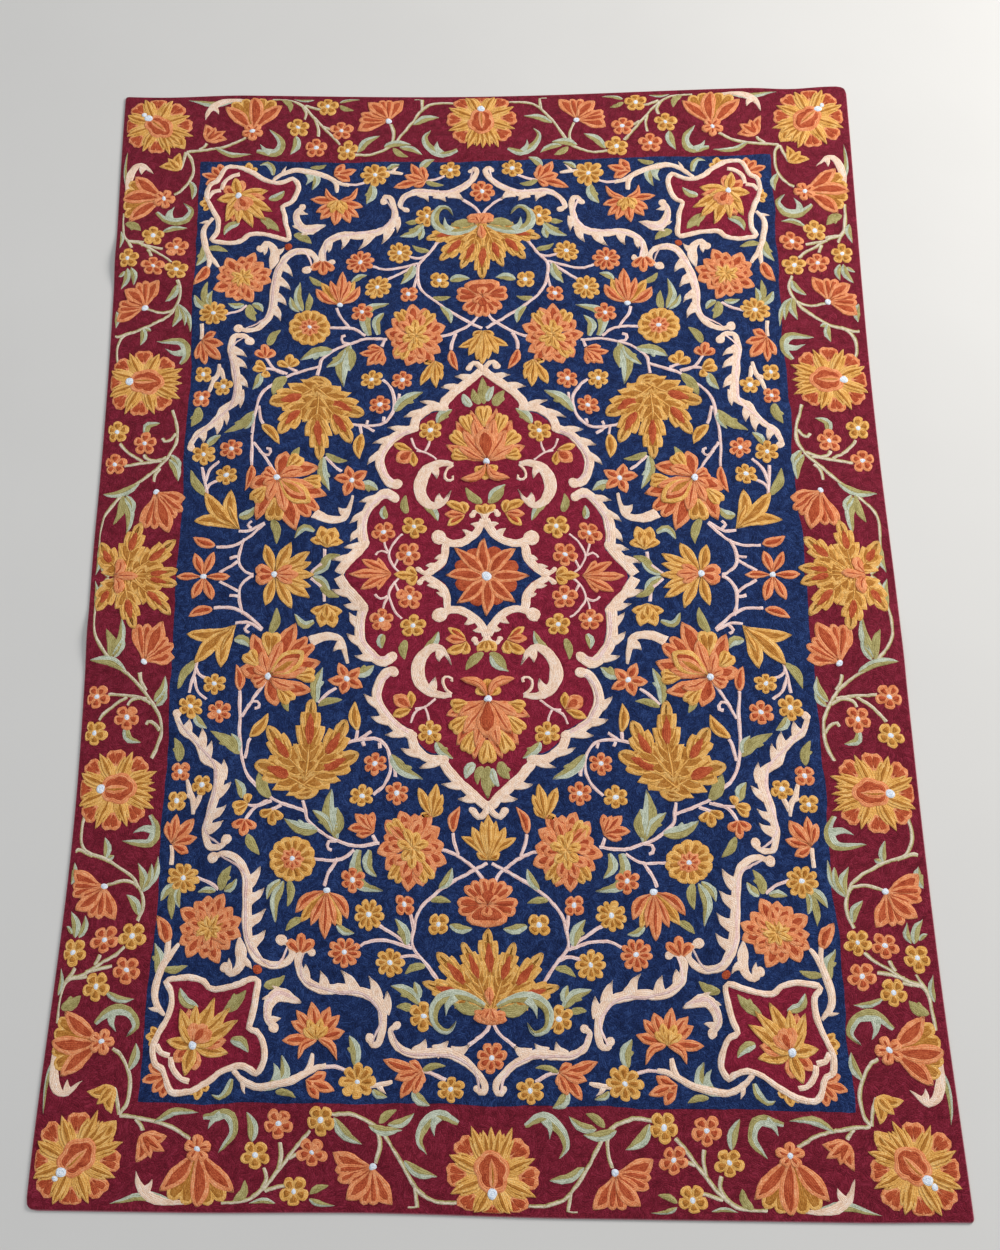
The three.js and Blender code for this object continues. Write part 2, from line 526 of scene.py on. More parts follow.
@dataclass
class Needle:
    """Stitches shapes on the cloth, one patch after another.

    Attributes:
        cloth: the lie of the cloth.
        step: how much higher each level of stitches lies than the last, in millimetres.
        spacing: how far apart the points along an outline are, in millimetres.
        edge: how wide the rounded edge of a shape is, in millimetres.
        fewest, most: how many points a long shape has along it.
        tight: how far towards a bend's centre the inner edge may reach, as a share of its radius.
        seam: how far to the side the rows of stitches are counted from.
        middle: the place that the pattern is mirrored about.
        mirror: where the patches are repeated.
        base: the level of the ground that they lie on.
        patches: the patches stitched so far.
    """

    cloth: ClothForm
    step: float = 0.12
    spacing: float = 4.0
    edge: float = 0.8
    fewest: int = 7
    most: int = 130
    tight: float = 0.9
    seam: float = 900.0
    middle: complex = -3 + 1j
    mirror: Mirror = Mirror.QUARTERS
    base: float = 0.0
    patches: list[Patch] = field(default_factory=list)

    def stitch(self, mirror: Mirror, *motifs: Motif) -> None:
        """Stitches motifs in their order, each repeated as the mirror says.

        Args:
            mirror: where each is repeated.
            motifs: the motifs.
        """
        self.mirror = mirror
        for motif in motifs:
            motif.stitch(self)

    def add(self, yarn: Yarn, spots: np.ndarray, above: np.ndarray, rows: np.ndarray) -> None:
        """Keeps one grid of places as a patch of the yarn, a hair higher or lower than its neighbours.

        Args:
            yarn: the yarn.
            spots: complex plan places.
            above: how high each place stands above the ground.
            rows: each place along the row of stitches and across it, in millimetres.
        """
        hair = self.step * 0.01 * (len(self.patches) % 13)
        raised = np.where(above > 0, above + self.base * self.step + hair, -self.step)
        self.patches.append(Patch(yarn, self.cloth.straighten(spots), raised, rows, self.mirror))

    def blade(
        self, yarn: Yarn, path: Path, half: float, shape: Shape, level: float, rim: float = 0.0,
        side: Side = Side.BOTH, lean: float = 0.0, fine: float = 1.0, closed: bool = False,
    ) -> None:
        """Stitches a long shape along a line: a leaf, a petal, a vine or a band.

        Args:
            yarn: the yarn.
            path: the middle line.
            half: half of the greatest width.
            shape: the half width along the line, from 0 to 1.
            level: how many levels of stitches it lies above the ground.
            rim: how much of the outline is left free on every side.
            side: the part of the width that is stitched.
            lean: how far the outline is pushed forwards, as a share of the half width.
            fine: how much finer than usual the outline is.
            closed: whether the line comes back to its start.
        """
        share = np.linspace(0, 1, 161)
        room = half * shape(share) - rim
        inside = share[(room > 0.25) & (share * path.length >= rim) & ((1 - share) * path.length >= rim)]
        if inside.size < 3:
            return
        first, last = (inside[0], inside[-1]) if rim else (0.0, 1.0)
        points = (last - first) * path.length / self.spacing * fine
        count = int(np.clip(points, self.fewest, self.most))
        even = np.linspace(0, 1, count)
        eased = (1 - np.cos(math.pi * even)) / 2
        near_ends = first + (last - first) * (0.5 * even + 0.5 * eased)
        wide = np.maximum(half * shape(near_ends) - rim, 0.0)
        spine = path.at(near_ends)
        ahead = path.heading(near_ends)
        edge = np.clip(self.edge / np.maximum(wide, 0.1), 0.06, 0.36)
        columns, heights = self.section(edge, side, half - rim)
        turn = path.turning(near_ends)[:, None]
        room = self.tight / np.maximum(np.abs(turn), 1e-6)
        across = columns * wide[:, None]
        across = np.where(across * turn > 0, np.clip(across, -room, room), across)
        push = np.abs(across) * lean
        spots = spine[:, None] + 1j * ahead[:, None] * across + ahead[:, None] * push
        above = heights * level * self.step
        if closed:
            spots[-1] = spots[0]
        else:
            above[[0, -1]] = 0.0
        along = near_ends[:, None] * path.length + 0 * across
        self.add(yarn, spots, above, np.stack([along, columns * (half - rim) + self.seam], axis=-1))

    @staticmethod
    def section(edge: np.ndarray, side: Side, half: float) -> tuple[np.ndarray, np.ndarray]:
        """Gives the columns of points across a blade and how high each stands, from 0 to 1.

        Args:
            edge: the share of the half width that the rounded edge takes, at each place along it.
            side: the part of the width that is stitched.
            half: half of the greatest width.

        Returns:
            The columns and the heights, one row for each place along the blade.
        """
        one = np.ones_like(edge)
        left = [one * 0, one - 2.4 * edge, one - edge, one] if half > 5.5 else [one * 0, one - edge, one]
        rise = [one, one, 0.86 * one, one * 0] if half > 5.5 else [one, 0.88 * one, one * 0]
        if half > 9:
            left.insert(1, 0.45 * one)
            rise.insert(1, one)
        if side is Side.LEFT:
            return np.stack(left, 1), np.stack(rise, 1)
        if side is Side.RIGHT:
            return np.stack([-c for c in left[::-1]], 1), np.stack(rise[::-1], 1)
        whole = [-c for c in left[:0:-1]] + left
        return np.stack(whole, 1), np.stack(rise[:0:-1] + rise, 1)

    def disc(
        self, yarn: Yarn, centre: complex, radius: Callable[[np.ndarray], np.ndarray], level: float,
        rim: float = 0.0, rings: int = 2, count: int = 32,
    ) -> None:
        """Stitches a shape around a middle, in rings.

        Args:
            yarn: the yarn.
            centre: the middle.
            radius: the radius of the outline at each angle.
            level: how many levels of stitches it lies above the ground.
            rim: how much of the outline is left free.
            rings: how many rings of points lie inside the rounded edge.
            count: how many points go round.
        """
        angle = np.linspace(0, 2 * math.pi, count + 1)
        reach = np.maximum(radius(angle) - rim, 0.3)[:, None]
        edge = np.clip(self.edge / reach, 0.03, 0.4)
        shares = [1 + 0 * edge, 1 - edge, *[(1 - 2.4 * edge) * k / rings for k in range(rings, -1, -1)]]
        share = np.maximum(np.concatenate(shares, axis=1), 0)
        spots = centre + np.exp(1j * angle)[:, None] * reach * share
        heights = np.ones(share.shape[1])
        heights[:2] = (0.0, 0.88)
        above = np.tile(heights * level * self.step, (count + 1, 1))
        rows = [angle[:, None] * reach * 0.6 + 0 * share, reach * (1 - share) + self.seam]
        self.add(yarn, spots, above, np.stack(rows, axis=-1))

    def dot(self, centre: complex, radius: float, level: float, yarn: Yarn = Yarn.WHITE) -> None:
        """Stitches a round dot.

        Args:
            centre: its middle.
            radius: its radius.
            level: how many levels it lies above the ground.
            yarn: its yarn.
        """
        self.disc(
            yarn, centre, lambda angle: radius * (1 + 0.05 * np.sin(2 * angle + centre.real)), level,
            rings=1, count=12,
        )

    def petal(
        self, tone: Tone, base: complex, tip: complex, width: float, level: float, shape: Shape = flame,
        bend: float = 0.0, rim: float | None = None,
    ) -> None:
        """Stitches one outlined petal.

        Args:
            tone: its two yarns.
            base: where it grows from.
            tip: its tip.
            width: its greatest width.
            level: how many levels it lies above the ground.
            shape: its outline.
            bend: how far it bends to the left.
            rim: the width of its outline, if not the usual one.
        """
        edge, filling = tone.value
        path = bowed(base, tip, bend)
        self.blade(edge, path, width / 2, shape, level)
        if rim is None:
            rim = min(max(width * 0.24, 2.6), 5.4)
        last = 1 - 1.3 * rim / path.length
        if last > 0.3:
            self.blade(filling, path.part(0.06, last), width / 2 - rim, shape, level + 1)

    def heart(self, tone: Tone, base: complex, tip: complex, width: float, level: float) -> None:
        """Stitches one petal with a notched, heart-shaped end.

        Args:
            tone: its two yarns.
            base: where it grows from.
            tip: the middle of its end.
            width: its greatest width.
            level: how many levels it lies above the ground.
        """
        spread = math.atan2(width * 0.24, abs(tip - base))
        lobes = [base + (tip - base) * np.exp(1j * spread * side) for side in (-1, 1)]
        for yarn, rim, rise in zip(tone.value, (0.0, min(max(width * 0.12, 2.4), 4)), (0, 1)):
            for lobe in lobes:
                self.blade(yarn, bowed(base, lobe), width * 0.3, teardrop, level + rise, rim=rim)


def arrow(degrees: float) -> complex:
    """Gives the unit direction at an angle, in degrees from X towards Y."""
    return complex(math.cos(math.radians(degrees)), math.sin(math.radians(degrees)))


def rays(count: int, turn: float = 0.0) -> list[complex]:
    """Gives unit directions evenly all round, the first at an angle in degrees."""
    return [arrow(turn + 360 * index / count) for index in range(count)]


VINE_LEVEL = 3
LEAF_LEVEL = 4
SCROLL_LEVEL = 6
FLOWER_LEVEL = 7
AHEAD = arrow(90)


@dataclass(frozen=True)
class Vine:
    """One vine: the places it runs through and its width."""

    spots: tuple[Spot, ...]
    width: float
    yarn: Yarn = Yarn.ROSE
    lined: bool = False

    def stitch(self, needle: Needle) -> None:
        """Stitches the vine, with a darker row along one side where it is lined.

        Args:
            needle: the needle.
        """
        path = Path.over(self.spots)
        if self.lined:
            needle.blade(Yarn.OLIVE, path, self.width * 0.72, strap, VINE_LEVEL - 0.6, side=Side.RIGHT)
        needle.blade(self.yarn, path, self.width / 2, strap, VINE_LEVEL)


@dataclass(frozen=True)
class Leaf:
    """One leaf of two halves: where it grows from, its tip, its width and its bend to the left.

    Attributes:
        dye: the yarn of both halves, if it isn't sage on the left and olive on the right.
        broad, long: the width and length from which a leaf has a barb.
    """

    x: float
    y: float
    tip_x: float
    tip_y: float
    width: float
    bend: float = 0.12
    dye: Yarn | None = None
    level: float = LEAF_LEVEL
    broad: float = 14.0
    long: float = 34.0

    def stitch(self, needle: Needle) -> None:
        """Stitches a broad leaf's barb, both halves and a dark vein between them.

        Args:
            needle: the needle.
        """
        path = bowed(complex(self.x, self.y), complex(self.tip_x, self.tip_y), self.bend)
        half = self.width * 0.58
        left = self.dye or Yarn.SAGE
        right = self.dye or Yarn.OLIVE
        if self.width >= self.broad and path.length > self.long:
            side = -math.copysign(1, self.bend or 1)
            barb = path.spot(0.66) + 1j * path.way(0.7) * side * self.width * 0.72
            line = bowed(path.spot(0.3), barb, -0.12 * side)
            needle.blade(left if side > 0 else right, line, half * 0.55, flame, self.level)
        needle.blade(left, path, half, lance, self.level, side=Side.LEFT)
        needle.blade(right, path, half, lance, self.level, side=Side.RIGHT)
        vein = bowed(path.spot(0.1), path.spot(0.8), self.bend * 0.9)
        needle.blade(Yarn.OLIVE, vein, 0.8, lance, self.level + 1)


def foliage(*rows: tuple, level: float = LEAF_LEVEL) -> tuple[Leaf, ...]:
    """Makes leaves from rows of X, Y, the tip's X and Y, width, bend and dye."""
    return tuple(Leaf(*row, level=level) for row in rows)


@dataclass(frozen=True)
class CurlLeaf:
    """One long leaf that curls round: the places along its middle, its width and its inner barb."""

    spots: tuple[Spot, ...]
    width: float
    barb: Spot | None = None
    level: float = LEAF_LEVEL

    def stitch(self, needle: Needle) -> None:
        """Stitches the two halves of the leaf and the barb on its inner side.

        Args:
            needle: the needle.
        """
        path = Path.over(self.spots)
        half = self.width * 0.6
        needle.blade(Yarn.SAGE, path, half, swelling_point, self.level, side=Side.LEFT)
        needle.blade(Yarn.OLIVE, path, half, swelling_point, self.level, side=Side.RIGHT)
        if self.barb:
            line = bowed(path.spot(0.3), complex(*self.barb), 0.15)
            needle.blade(Yarn.SAGE, line, half * 0.8, horn, self.level + 1)


@dataclass(frozen=True)
class Flower:
    """The place that a flower's petals grow from."""

    x: float
    y: float

    @property
    def middle(self) -> complex:
        """The place as one complex number."""
        return complex(self.x, self.y)


@dataclass(frozen=True)
class Bloom(Flower):
    """One small round flower: its petals, its radius, its tone, its turn in degrees and its dot."""

    petals: int = 5
    radius: float = 19.0
    tone: Tone = Tone.GOLDEN
    turn: float = 90.0
    dot: float = 4.3

    def stitch(self, needle: Needle) -> None:
        """Stitches the lobed outline, the petals' fillings and the dot.

        Args:
            needle: the needle.
        """
        edge, filling = self.tone.value
        depth = 0.36 if self.petals < 7 else 0.29

        def lobes(angle: np.ndarray) -> np.ndarray:
            """The outline's radius.

            Args:
                angle: the angles round the middle.

            Returns:
                The radius at each angle.
            """
            wave = np.abs(np.cos((angle - math.radians(self.turn)) * self.petals / 2)) ** 0.5
            uneven = 1 + 0.035 * np.sin(angle * 2 + self.x) + 0.025 * np.sin(angle * 3 + self.y)
            return self.radius * 1.04 * uneven * (1 - depth + depth * wave)

        needle.disc(edge, self.middle, lobes, FLOWER_LEVEL, rings=1, count=self.petals * 8)
        width = min(self.radius * math.sin(math.pi / self.petals) * 1.02 * 0.9, 11)
        for out in rays(self.petals, self.turn):
            path = bowed(self.middle + out * self.dot, self.middle + out * (self.radius - 3.8))
            needle.blade(filling, path, width / 2, teardrop, FLOWER_LEVEL + 1.5)
        needle.dot(self.middle, self.dot, FLOWER_LEVEL + 3)


@dataclass(frozen=True)
class DoubleBloom(Flower):
    """One large round flower with a smaller one of another tone on it."""

    petals: int = 12
    radius: float = 34.0

    def stitch(self, needle: Needle) -> None:
        """Stitches the outer petals and the inner flower.

        Args:
            needle: the needle.
        """
        for index, out in enumerate(rays(self.petals, 10)):
            base, tip = (self.middle + out * reach for reach in (8, self.radius))
            needle.petal(Tone.GOLDEN, base, tip, 19, FLOWER_LEVEL + 2 * (index % 2), teardrop)
        needle.disc(
            Yarn.ORANGE, self.middle, lambda a: 15.5 + 1.6 * np.cos(8 * a), FLOWER_LEVEL + 4, count=48
        )
        for out in rays(8):
            line = bowed(self.middle + out * 4, self.middle + out * 13)
            needle.blade(Yarn.RUST, line, 3.4, teardrop, FLOWER_LEVEL + 5)
        needle.dot(self.middle, 4.3, FLOWER_LEVEL + 6)


@dataclass(frozen=True)
class Bud:
    """One closed bud: its base, its tip, its width, its tone and its bend."""

    base: Spot
    tip: Spot
    width: float
    tone: Tone = Tone.WARM
    bend: float = 0.08

    def stitch(self, needle: Needle) -> None:
        """Stitches the outlined bud."""
        base, tip = complex(*self.base), complex(*self.tip)
        needle.petal(self.tone, base, tip, self.width, FLOWER_LEVEL, lance, self.bend)


@dataclass(frozen=True)
class Tulip(Flower):
    """One small open flower seen from the side: where it faces, its length, its spread and its petals."""

    facing: float
    length: float
    spread: float
    petals: int
    tone: Tone

    def stitch(self, needle: Needle) -> None:
        """Stitches the outer petals first and the middle ones over them.

        Args:
            needle: the needle.
        """
        order = sorted(range(self.petals), key=lambda k: -abs(k - (self.petals - 1) / 2))
        for rank, index in enumerate(order):
            side = 2 * index / (self.petals - 1) - 1
            out = arrow(self.facing - side * self.spread) * self.length * (1 - 0.1 * (index % 2))
            width = self.length * 0.5 * (1.0 if abs(side) > 0.9 else 0.9)
            level = FLOWER_LEVEL + 2 * (rank // 2)
            needle.petal(self.tone, self.middle, self.middle + out, width, level, lance, 0.14 * side)


@dataclass(frozen=True)
class Lily(Flower):
    """One fan-shaped flower of pointed petals and notched ones, around a white dot.

    Attributes:
        facing: where it faces, in degrees.
        size: how long its petals are.
        fan: the petals in the order that they are stitched: turn, reach, width, tone and whether notched.
        bend: how far the pointed ones bend inwards.
    """

    facing: float
    size: float
    fan: ClassVar[tuple[tuple, ...]] = (
        (-70, 1.12, 24, Tone.WARM, False), (70, 1.14, 26, Tone.WARM, False), (-36, 1.0, 28, Tone.WARM, True),
        (37, 1.0, 28, Tone.WARM, True), (-20, 0.8, 17, Tone.WARM, False), (20, 0.8, 17, Tone.WARM, False),
        (0, 1.08, 24, Tone.WARM, False),
    )
    bend: ClassVar[float] = 0.08

    def open(self, needle: Needle) -> None:
        """Stitches the fan, each pair of petals a little over the last.

        Args:
            needle: the needle.
        """
        for rank, (turn, reach, width, tone, notched) in enumerate(self.fan):
            tip = self.middle + arrow(self.facing + turn) * self.size * reach
            level = FLOWER_LEVEL + 2 * (rank // 2)
            if notched:
                needle.heart(tone, self.middle, tip, width, level)
            else:
                bend = -self.bend * math.copysign(1, turn)
                needle.petal(tone, self.middle, tip, width, level, flame, bend)

    def stitch(self, needle: Needle) -> None:
        """Stitches the fan and the dot."""
        self.open(needle)
        needle.dot(self.middle, 5.2, FLOWER_LEVEL + 8)


@dataclass(frozen=True)
class CrownLily(Lily):
    """One tall lily of the border's corners, with a small flower at its base."""

    size: float = 78.0
    fan: ClassVar[tuple[tuple, ...]] = (
        (19, 0.99, 42, Tone.GOLDEN, True), (-19, 0.99, 42, Tone.GOLDEN, True),
        (40, 0.97, 25, Tone.WARM, False), (-40, 0.97, 25, Tone.WARM, False), (0, 1.04, 27, Tone.WARM, False),
    )
    bend: ClassVar[float] = 0.05

    def stitch(self, needle: Needle) -> None:
        """Stitches the fan of tall petals and the small flower where they meet.

        Args:
            needle: the needle.
        """
        self.open(needle)
        for index, out in enumerate(rays(5, self.facing + 180)):
            level = FLOWER_LEVEL + 8 + 2 * (index % 2)
            needle.petal(Tone.WARM, self.middle, self.middle + out * 19, 15, level, teardrop)
        needle.dot(self.middle, 4.6, FLOWER_LEVEL + 13)


@dataclass(frozen=True)
class RoundPalmette(Flower):
    """One large round palmette of the border: notched and pointed petals around a lobed heart.

    Attributes:
        facing: where it faces, in degrees.
        dots: how many white dots lie below its heart.
        size: its radius.
        notched: the turn of each notched petal.
        pointed: the turn and the reach of each pointed one.
    """

    facing: float
    dots: int = 1
    size: float = 62.0
    notched: ClassVar[tuple[float, ...]] = (-137, -92, -46, 46, 92, 137, 180)
    pointed: ClassVar[tuple[Spot, ...]] = (
        (-11, 0.94), (11, 0.96), (-24, 1.07), (24, 1.07), (-68, 0.99), (68, 0.97), (-114, 1.0), (114, 1.0),
        (-158, 1.05), (158, 1.05), (0, 0.99),
    )

    def stitch(self, needle: Needle) -> None:
        """Stitches the ring of petals, the lobed heart, its leaf and the dots.

        Args:
            needle: the needle.
        """
        centre = self.middle
        ahead = arrow(self.facing)
        needle.disc(Yarn.GOLD, centre, lambda a: self.size * 0.72 + 0 * a, FLOWER_LEVEL, count=40, rings=4)
        for turn in self.notched:
            out = ahead * arrow(turn) * self.size
            needle.heart(Tone.WARM, centre + out * 0.5, centre + out * 0.99, 33, FLOWER_LEVEL + 1)
        for rank, (turn, reach) in enumerate(self.pointed):
            for beside, shorter in ((-8, 0.85), (8, 0.85), (0, 1)):
                out = ahead * arrow(turn + beside)
                tip = centre + out * self.size * reach * shorter
                level = FLOWER_LEVEL + 3 + 1.6 * (rank % 2) + 2.6 * (beside == 0)
                needle.petal(Tone.GOLDEN, centre + out * 12, tip, 12 + 3 * shorter, level, lance, rim=2.6)
        heart = centre + ahead * 4

        def lobes(angle: np.ndarray) -> np.ndarray:
            """The heart's outline: five lobes, longer ahead than across."""
            turn = angle - math.radians(self.facing)
            return 21 + 4.5 * np.cos(turn) ** 2 + 3.0 * np.abs(np.cos(2.5 * turn)) + 1.5 * np.cos(turn)

        needle.disc(Yarn.ORANGE, heart, lobes, FLOWER_LEVEL + 9, count=60, rings=3)
        needle.disc(Yarn.RUST, heart, lobes, FLOWER_LEVEL + 10, rim=5.6, count=60, rings=3)
        base, tip = centre - ahead * 18, centre + ahead * 24
        needle.petal(Tone.GLOW, base, tip, 15, FLOWER_LEVEL + 11, lance, 0.03, 3.4)
        for index in range(self.dots):
            needle.dot(centre - ahead * (21 + 11 * index), 7.2 - 2.6 * index, FLOWER_LEVEL + 13)


@dataclass(frozen=True)
class Frond:
    """One feathered frond: its base, tip, width, teeth, bend and the yarn of its heart."""

    base: Spot
    tip: Spot
    width: float
    teeth: int
    bend: float = 0.0
    heart: Yarn | None = Yarn.RUST

    def stitch(self, needle: Needle, level: float) -> None:
        """Stitches the toothed outline, its darker filling, the barbs, the streak and the vein.

        Args:
            needle: the needle.
            level: how many levels it lies above the ground.
        """
        path = bowed(complex(*self.base), complex(*self.tip), self.bend)
        half = self.width / 2
        outline, filling = serrated(self.teeth, 0.42), serrated(self.teeth, 0.5)
        needle.blade(Yarn.GOLD, path, half, outline, level, lean=0.35, fine=1.7)
        needle.blade(Yarn.OCHRE, path, half * 0.84, filling, level + 1, 3.4, lean=0.35, fine=1.4)
        for rank in range(1, self.teeth + 1):
            share = (rank - 0.15) / self.teeth * 0.94
            reach = half * float(outline(np.array(share)))
            for side in (-1, 1):
                end = path.spot(share) + path.way(share) * reach * (0.25 + 0.8j * side)
                barb = bowed(path.spot(0.6 * share), end, 0.1 * side)
                needle.blade(Yarn.GOLD, barb, 2.7, lance, level + 2)
        if self.heart:
            needle.blade(self.heart, path.part(0.42, 0.82), half * 0.29, lance, level + 3)
        needle.blade(Yarn.GOLD, bowed(path.spot(0.0), path.spot(0.5)), 1.7, lance, level + 4)


@dataclass(frozen=True)
class Feathered:
    """One palmette of several feathered fronds, in the order that they are stitched."""

    fronds: tuple[Frond, ...]

    def stitch(self, needle: Needle) -> None:
        """Stitches the fronds, each a little over the last."""
        for rank, frond in enumerate(self.fronds):
            frond.stitch(needle, FLOWER_LEVEL + 1.2 * rank)


@dataclass(frozen=True)
class Ring:
    """One ring of a rosette's petals: how many, between which radii, how wide, and in which tone."""

    petals: int
    inner: float
    outer: float
    width: float
    tone: Tone
    shape: Shape = lance
    turn: float = 0.0
    ruffle: float = 0.08
    rim: float | None = None


@dataclass(frozen=True)
class Rosette(Flower):
    """One many-petalled flower: rings of petals around a middle, as long as it is wide or a share longer."""

    rings: tuple[Ring, ...]
    stretch: float = 1.0
    dot: float = 0.0

    def stitch(self, needle: Needle) -> None:
        """Stitches the rings from the outer one in, and the dot.

        Args:
            needle: the needle.
        """
        level = FLOWER_LEVEL
        for ring in self.rings:
            for index, out in enumerate(rays(ring.petals, ring.turn)):
                long = 1 + ring.ruffle * math.sin(2.3 * index + self.x * 0.1)
                oval = AHEAD * complex(out.real * self.stretch, out.imag)
                base, tip = self.middle + oval * ring.inner, self.middle + oval * ring.outer * long
                bend = 0.07 * math.sin(1.7 * index + self.y)
                rise = level + 2 * (index % 2)
                needle.petal(ring.tone, base, tip, ring.width, rise, ring.shape, bend, ring.rim)
            level += 4
        if self.dot:
            needle.dot(self.middle, self.dot, level + 1)


@dataclass(frozen=True)
class Scroll:
    """One leafy scroll band: its line, its width, its teeth and the knobs at its ends.

    Attributes:
        spots: the places along the band.
        width: its greatest width.
        tips: the tips of its teeth.
        knobs: the radius of the round knob at the start and at the end, 0 for none.
        shape: its outline.
        back: how far behind its tip a tooth leaves the band's middle, along the band.
        tooth: half of the width of a tooth where it leaves.
    """

    spots: tuple[Spot, ...]
    width: float
    tips: tuple[Spot, ...] = ()
    knobs: Spot = (0.0, 0.0)
    shape: Shape = swelling
    back: float = 19.0
    tooth: float = 10.0

    def stitch(self, needle: Needle) -> None:
        """Stitches the band, its teeth and its knobs, and a paler half opposite a long row of teeth.

        Args:
            needle: the needle.
        """
        path = Path.over(self.spots)
        tips = [complex(*tip) for tip in self.tips]
        needle.blade(Yarn.PEACH, path, self.width / 2, self.shape, SCROLL_LEVEL)
        if len(tips) > 2:
            share = path.nearest(tips[0])
            right = ((tips[0] - path.spot(share)) / path.way(share)).imag < 0
            smooth = Side.LEFT if right else Side.RIGHT
            inner = path.part(0.04, 0.96)
            needle.blade(Yarn.ROSE, inner, self.width * 0.36, self.shape, SCROLL_LEVEL + 1, side=smooth)
        for tip in tips:
            share = path.nearest(tip)
            root = path.spot(max(share - self.back / path.length, 0.0))
            bend = 0.09 * math.copysign(1, ((tip - root) / path.way(share)).imag)
            needle.blade(Yarn.PEACH, bowed(root, tip, bend), self.tooth, horn, SCROLL_LEVEL, fine=1.5)
        for share, radius in zip((0.0, 1.0), self.knobs):
            if radius:
                needle.dot(path.spot(share), radius, SCROLL_LEVEL, Yarn.PEACH)


def comb(spots: tuple[Spot, ...], shares: tuple[float, ...], reach: float) -> tuple[Spot, ...]:
    """Works out the tips of even teeth on the right of a band.

    Args:
        spots: the places along the band.
        shares: the share of the band's length at which each tooth ends.
        reach: how far each tip lies from the band's middle.

    Returns:
        The tips.
    """
    path = Path.over(spots)
    tips = (path.spot(share) - 1j * path.way(share) * reach for share in shares)
    return tuple((tip.real, tip.imag) for tip in tips)


@dataclass(frozen=True)
class Petal:
    """One petal of a spray: its tip, width, bend to the left, tone, and where along it it starts."""

    x: float
    y: float
    width: float
    bend: float = 0.0
    tone: Tone = Tone.WARM
    notched: bool = False
    start: float = 0.0
    shape: Shape = flame


def petals(tone: Tone, *rows: tuple[float, ...], **form: object) -> tuple[Petal, ...]:
    """Makes petals of one tone and form from rows of X, Y, width and bend."""
    return tuple(Petal(*row, tone=tone, **form) for row in rows)


warm = partial(petals, Tone.WARM)
golden = partial(petals, Tone.GOLDEN)


def paired(middle: float, one_side: tuple[Petal, ...]) -> tuple[Petal, ...]:
    """Gives each petal followed by its mirror image about an upright line.

    Args:
        middle: X of that line.
        one_side: the petals on one side.

    Returns:
        The petals of both sides.
    """
    pairs = ((petal, replace(petal, x=2 * middle - petal.x, bend=-petal.bend)) for petal in one_side)
    return tuple(petal for pair in pairs for petal in pair)


@dataclass(frozen=True)
class Spray(Flower):
    """One free flower whose petals all grow from one place, in the order that they are stitched."""

    petals: tuple[Petal, ...]
    dot: float = 0.0
    level: float = FLOWER_LEVEL

    def stitch(self, needle: Needle) -> None:
        """Stitches the petals one over the other, and the dot.

        Args:
            needle: the needle.
        """
        for rank, petal in enumerate(self.petals):
            tip = complex(petal.x, petal.y)
            level = self.level + 1.2 * rank
            root = self.middle + (tip - self.middle) * petal.start
            if petal.notched:
                needle.heart(petal.tone, root, tip, petal.width, level)
            else:
                needle.petal(petal.tone, root, tip, petal.width, level, petal.shape, petal.bend)
        if self.dot:
            needle.dot(self.middle, self.dot, self.level + 1.2 * len(self.petals) + 1)


def trefoil(x: float, y: float, *tips: Spot, tone: Tone = Tone.WARM, width: float = 15.0) -> Spray:
    """Makes a small flower of equal round-ended petals.

    Args:
        x, y: where they grow from.
        tips: their tips.
        tone: their two yarns.
        width: how wide each is.

    Returns:
        The flower.
    """
    return Spray(x, y, petals(tone, *((*tip, width) for tip in tips), shape=teardrop))


@dataclass(frozen=True)
class Region:
    """One plain area of stitches inside a closed outline, laid over the ground around it.

    Attributes:
        yarn: its yarn.
        outline: the places round it, in order.
        middle: a place that every part of the outline can be seen from.
        level: how many levels it lies above the ground.
        cell: how far apart its points are.
    """

    yarn: Yarn
    outline: tuple[Spot, ...]
    middle: complex
    level: float
    cell: float = 10.0

    def stitch(self, needle: Needle) -> None:
        """Fills the area in rings from its outline to its middle.

        Args:
            needle: the needle.
        """
        path = Path.over(self.outline, closed=True)
        edge = path.at(np.linspace(0, 1, int(path.length / self.cell) + 1))
        edge[-1] = edge[0]
        rings = int(np.abs(edge - self.middle).max() / self.cell) + 1
        inward = np.concatenate([[0.0, 0.008], np.linspace(0.03, 1, rings)])
        spots = self.middle + (edge - self.middle)[:, None] * (1 - inward)
        heights = np.ones(inward.size)
        heights[0] = 0.0
        above = np.tile(heights * self.level * needle.step, (edge.size, 1))
        needle.add(self.yarn, spots, above, np.stack([spots.real, spots.imag], axis=-1))


def new_object(name: str, data: bpy.types.ID) -> bpy.types.Object:
    """Puts a new object with its data in the scene.

    Args:
        name: its name.
        data: its mesh, light or camera data.

    Returns:
        The object.
    """
    made = bpy.data.objects.new(name, data)
    bpy.context.collection.objects.link(made)
    return made


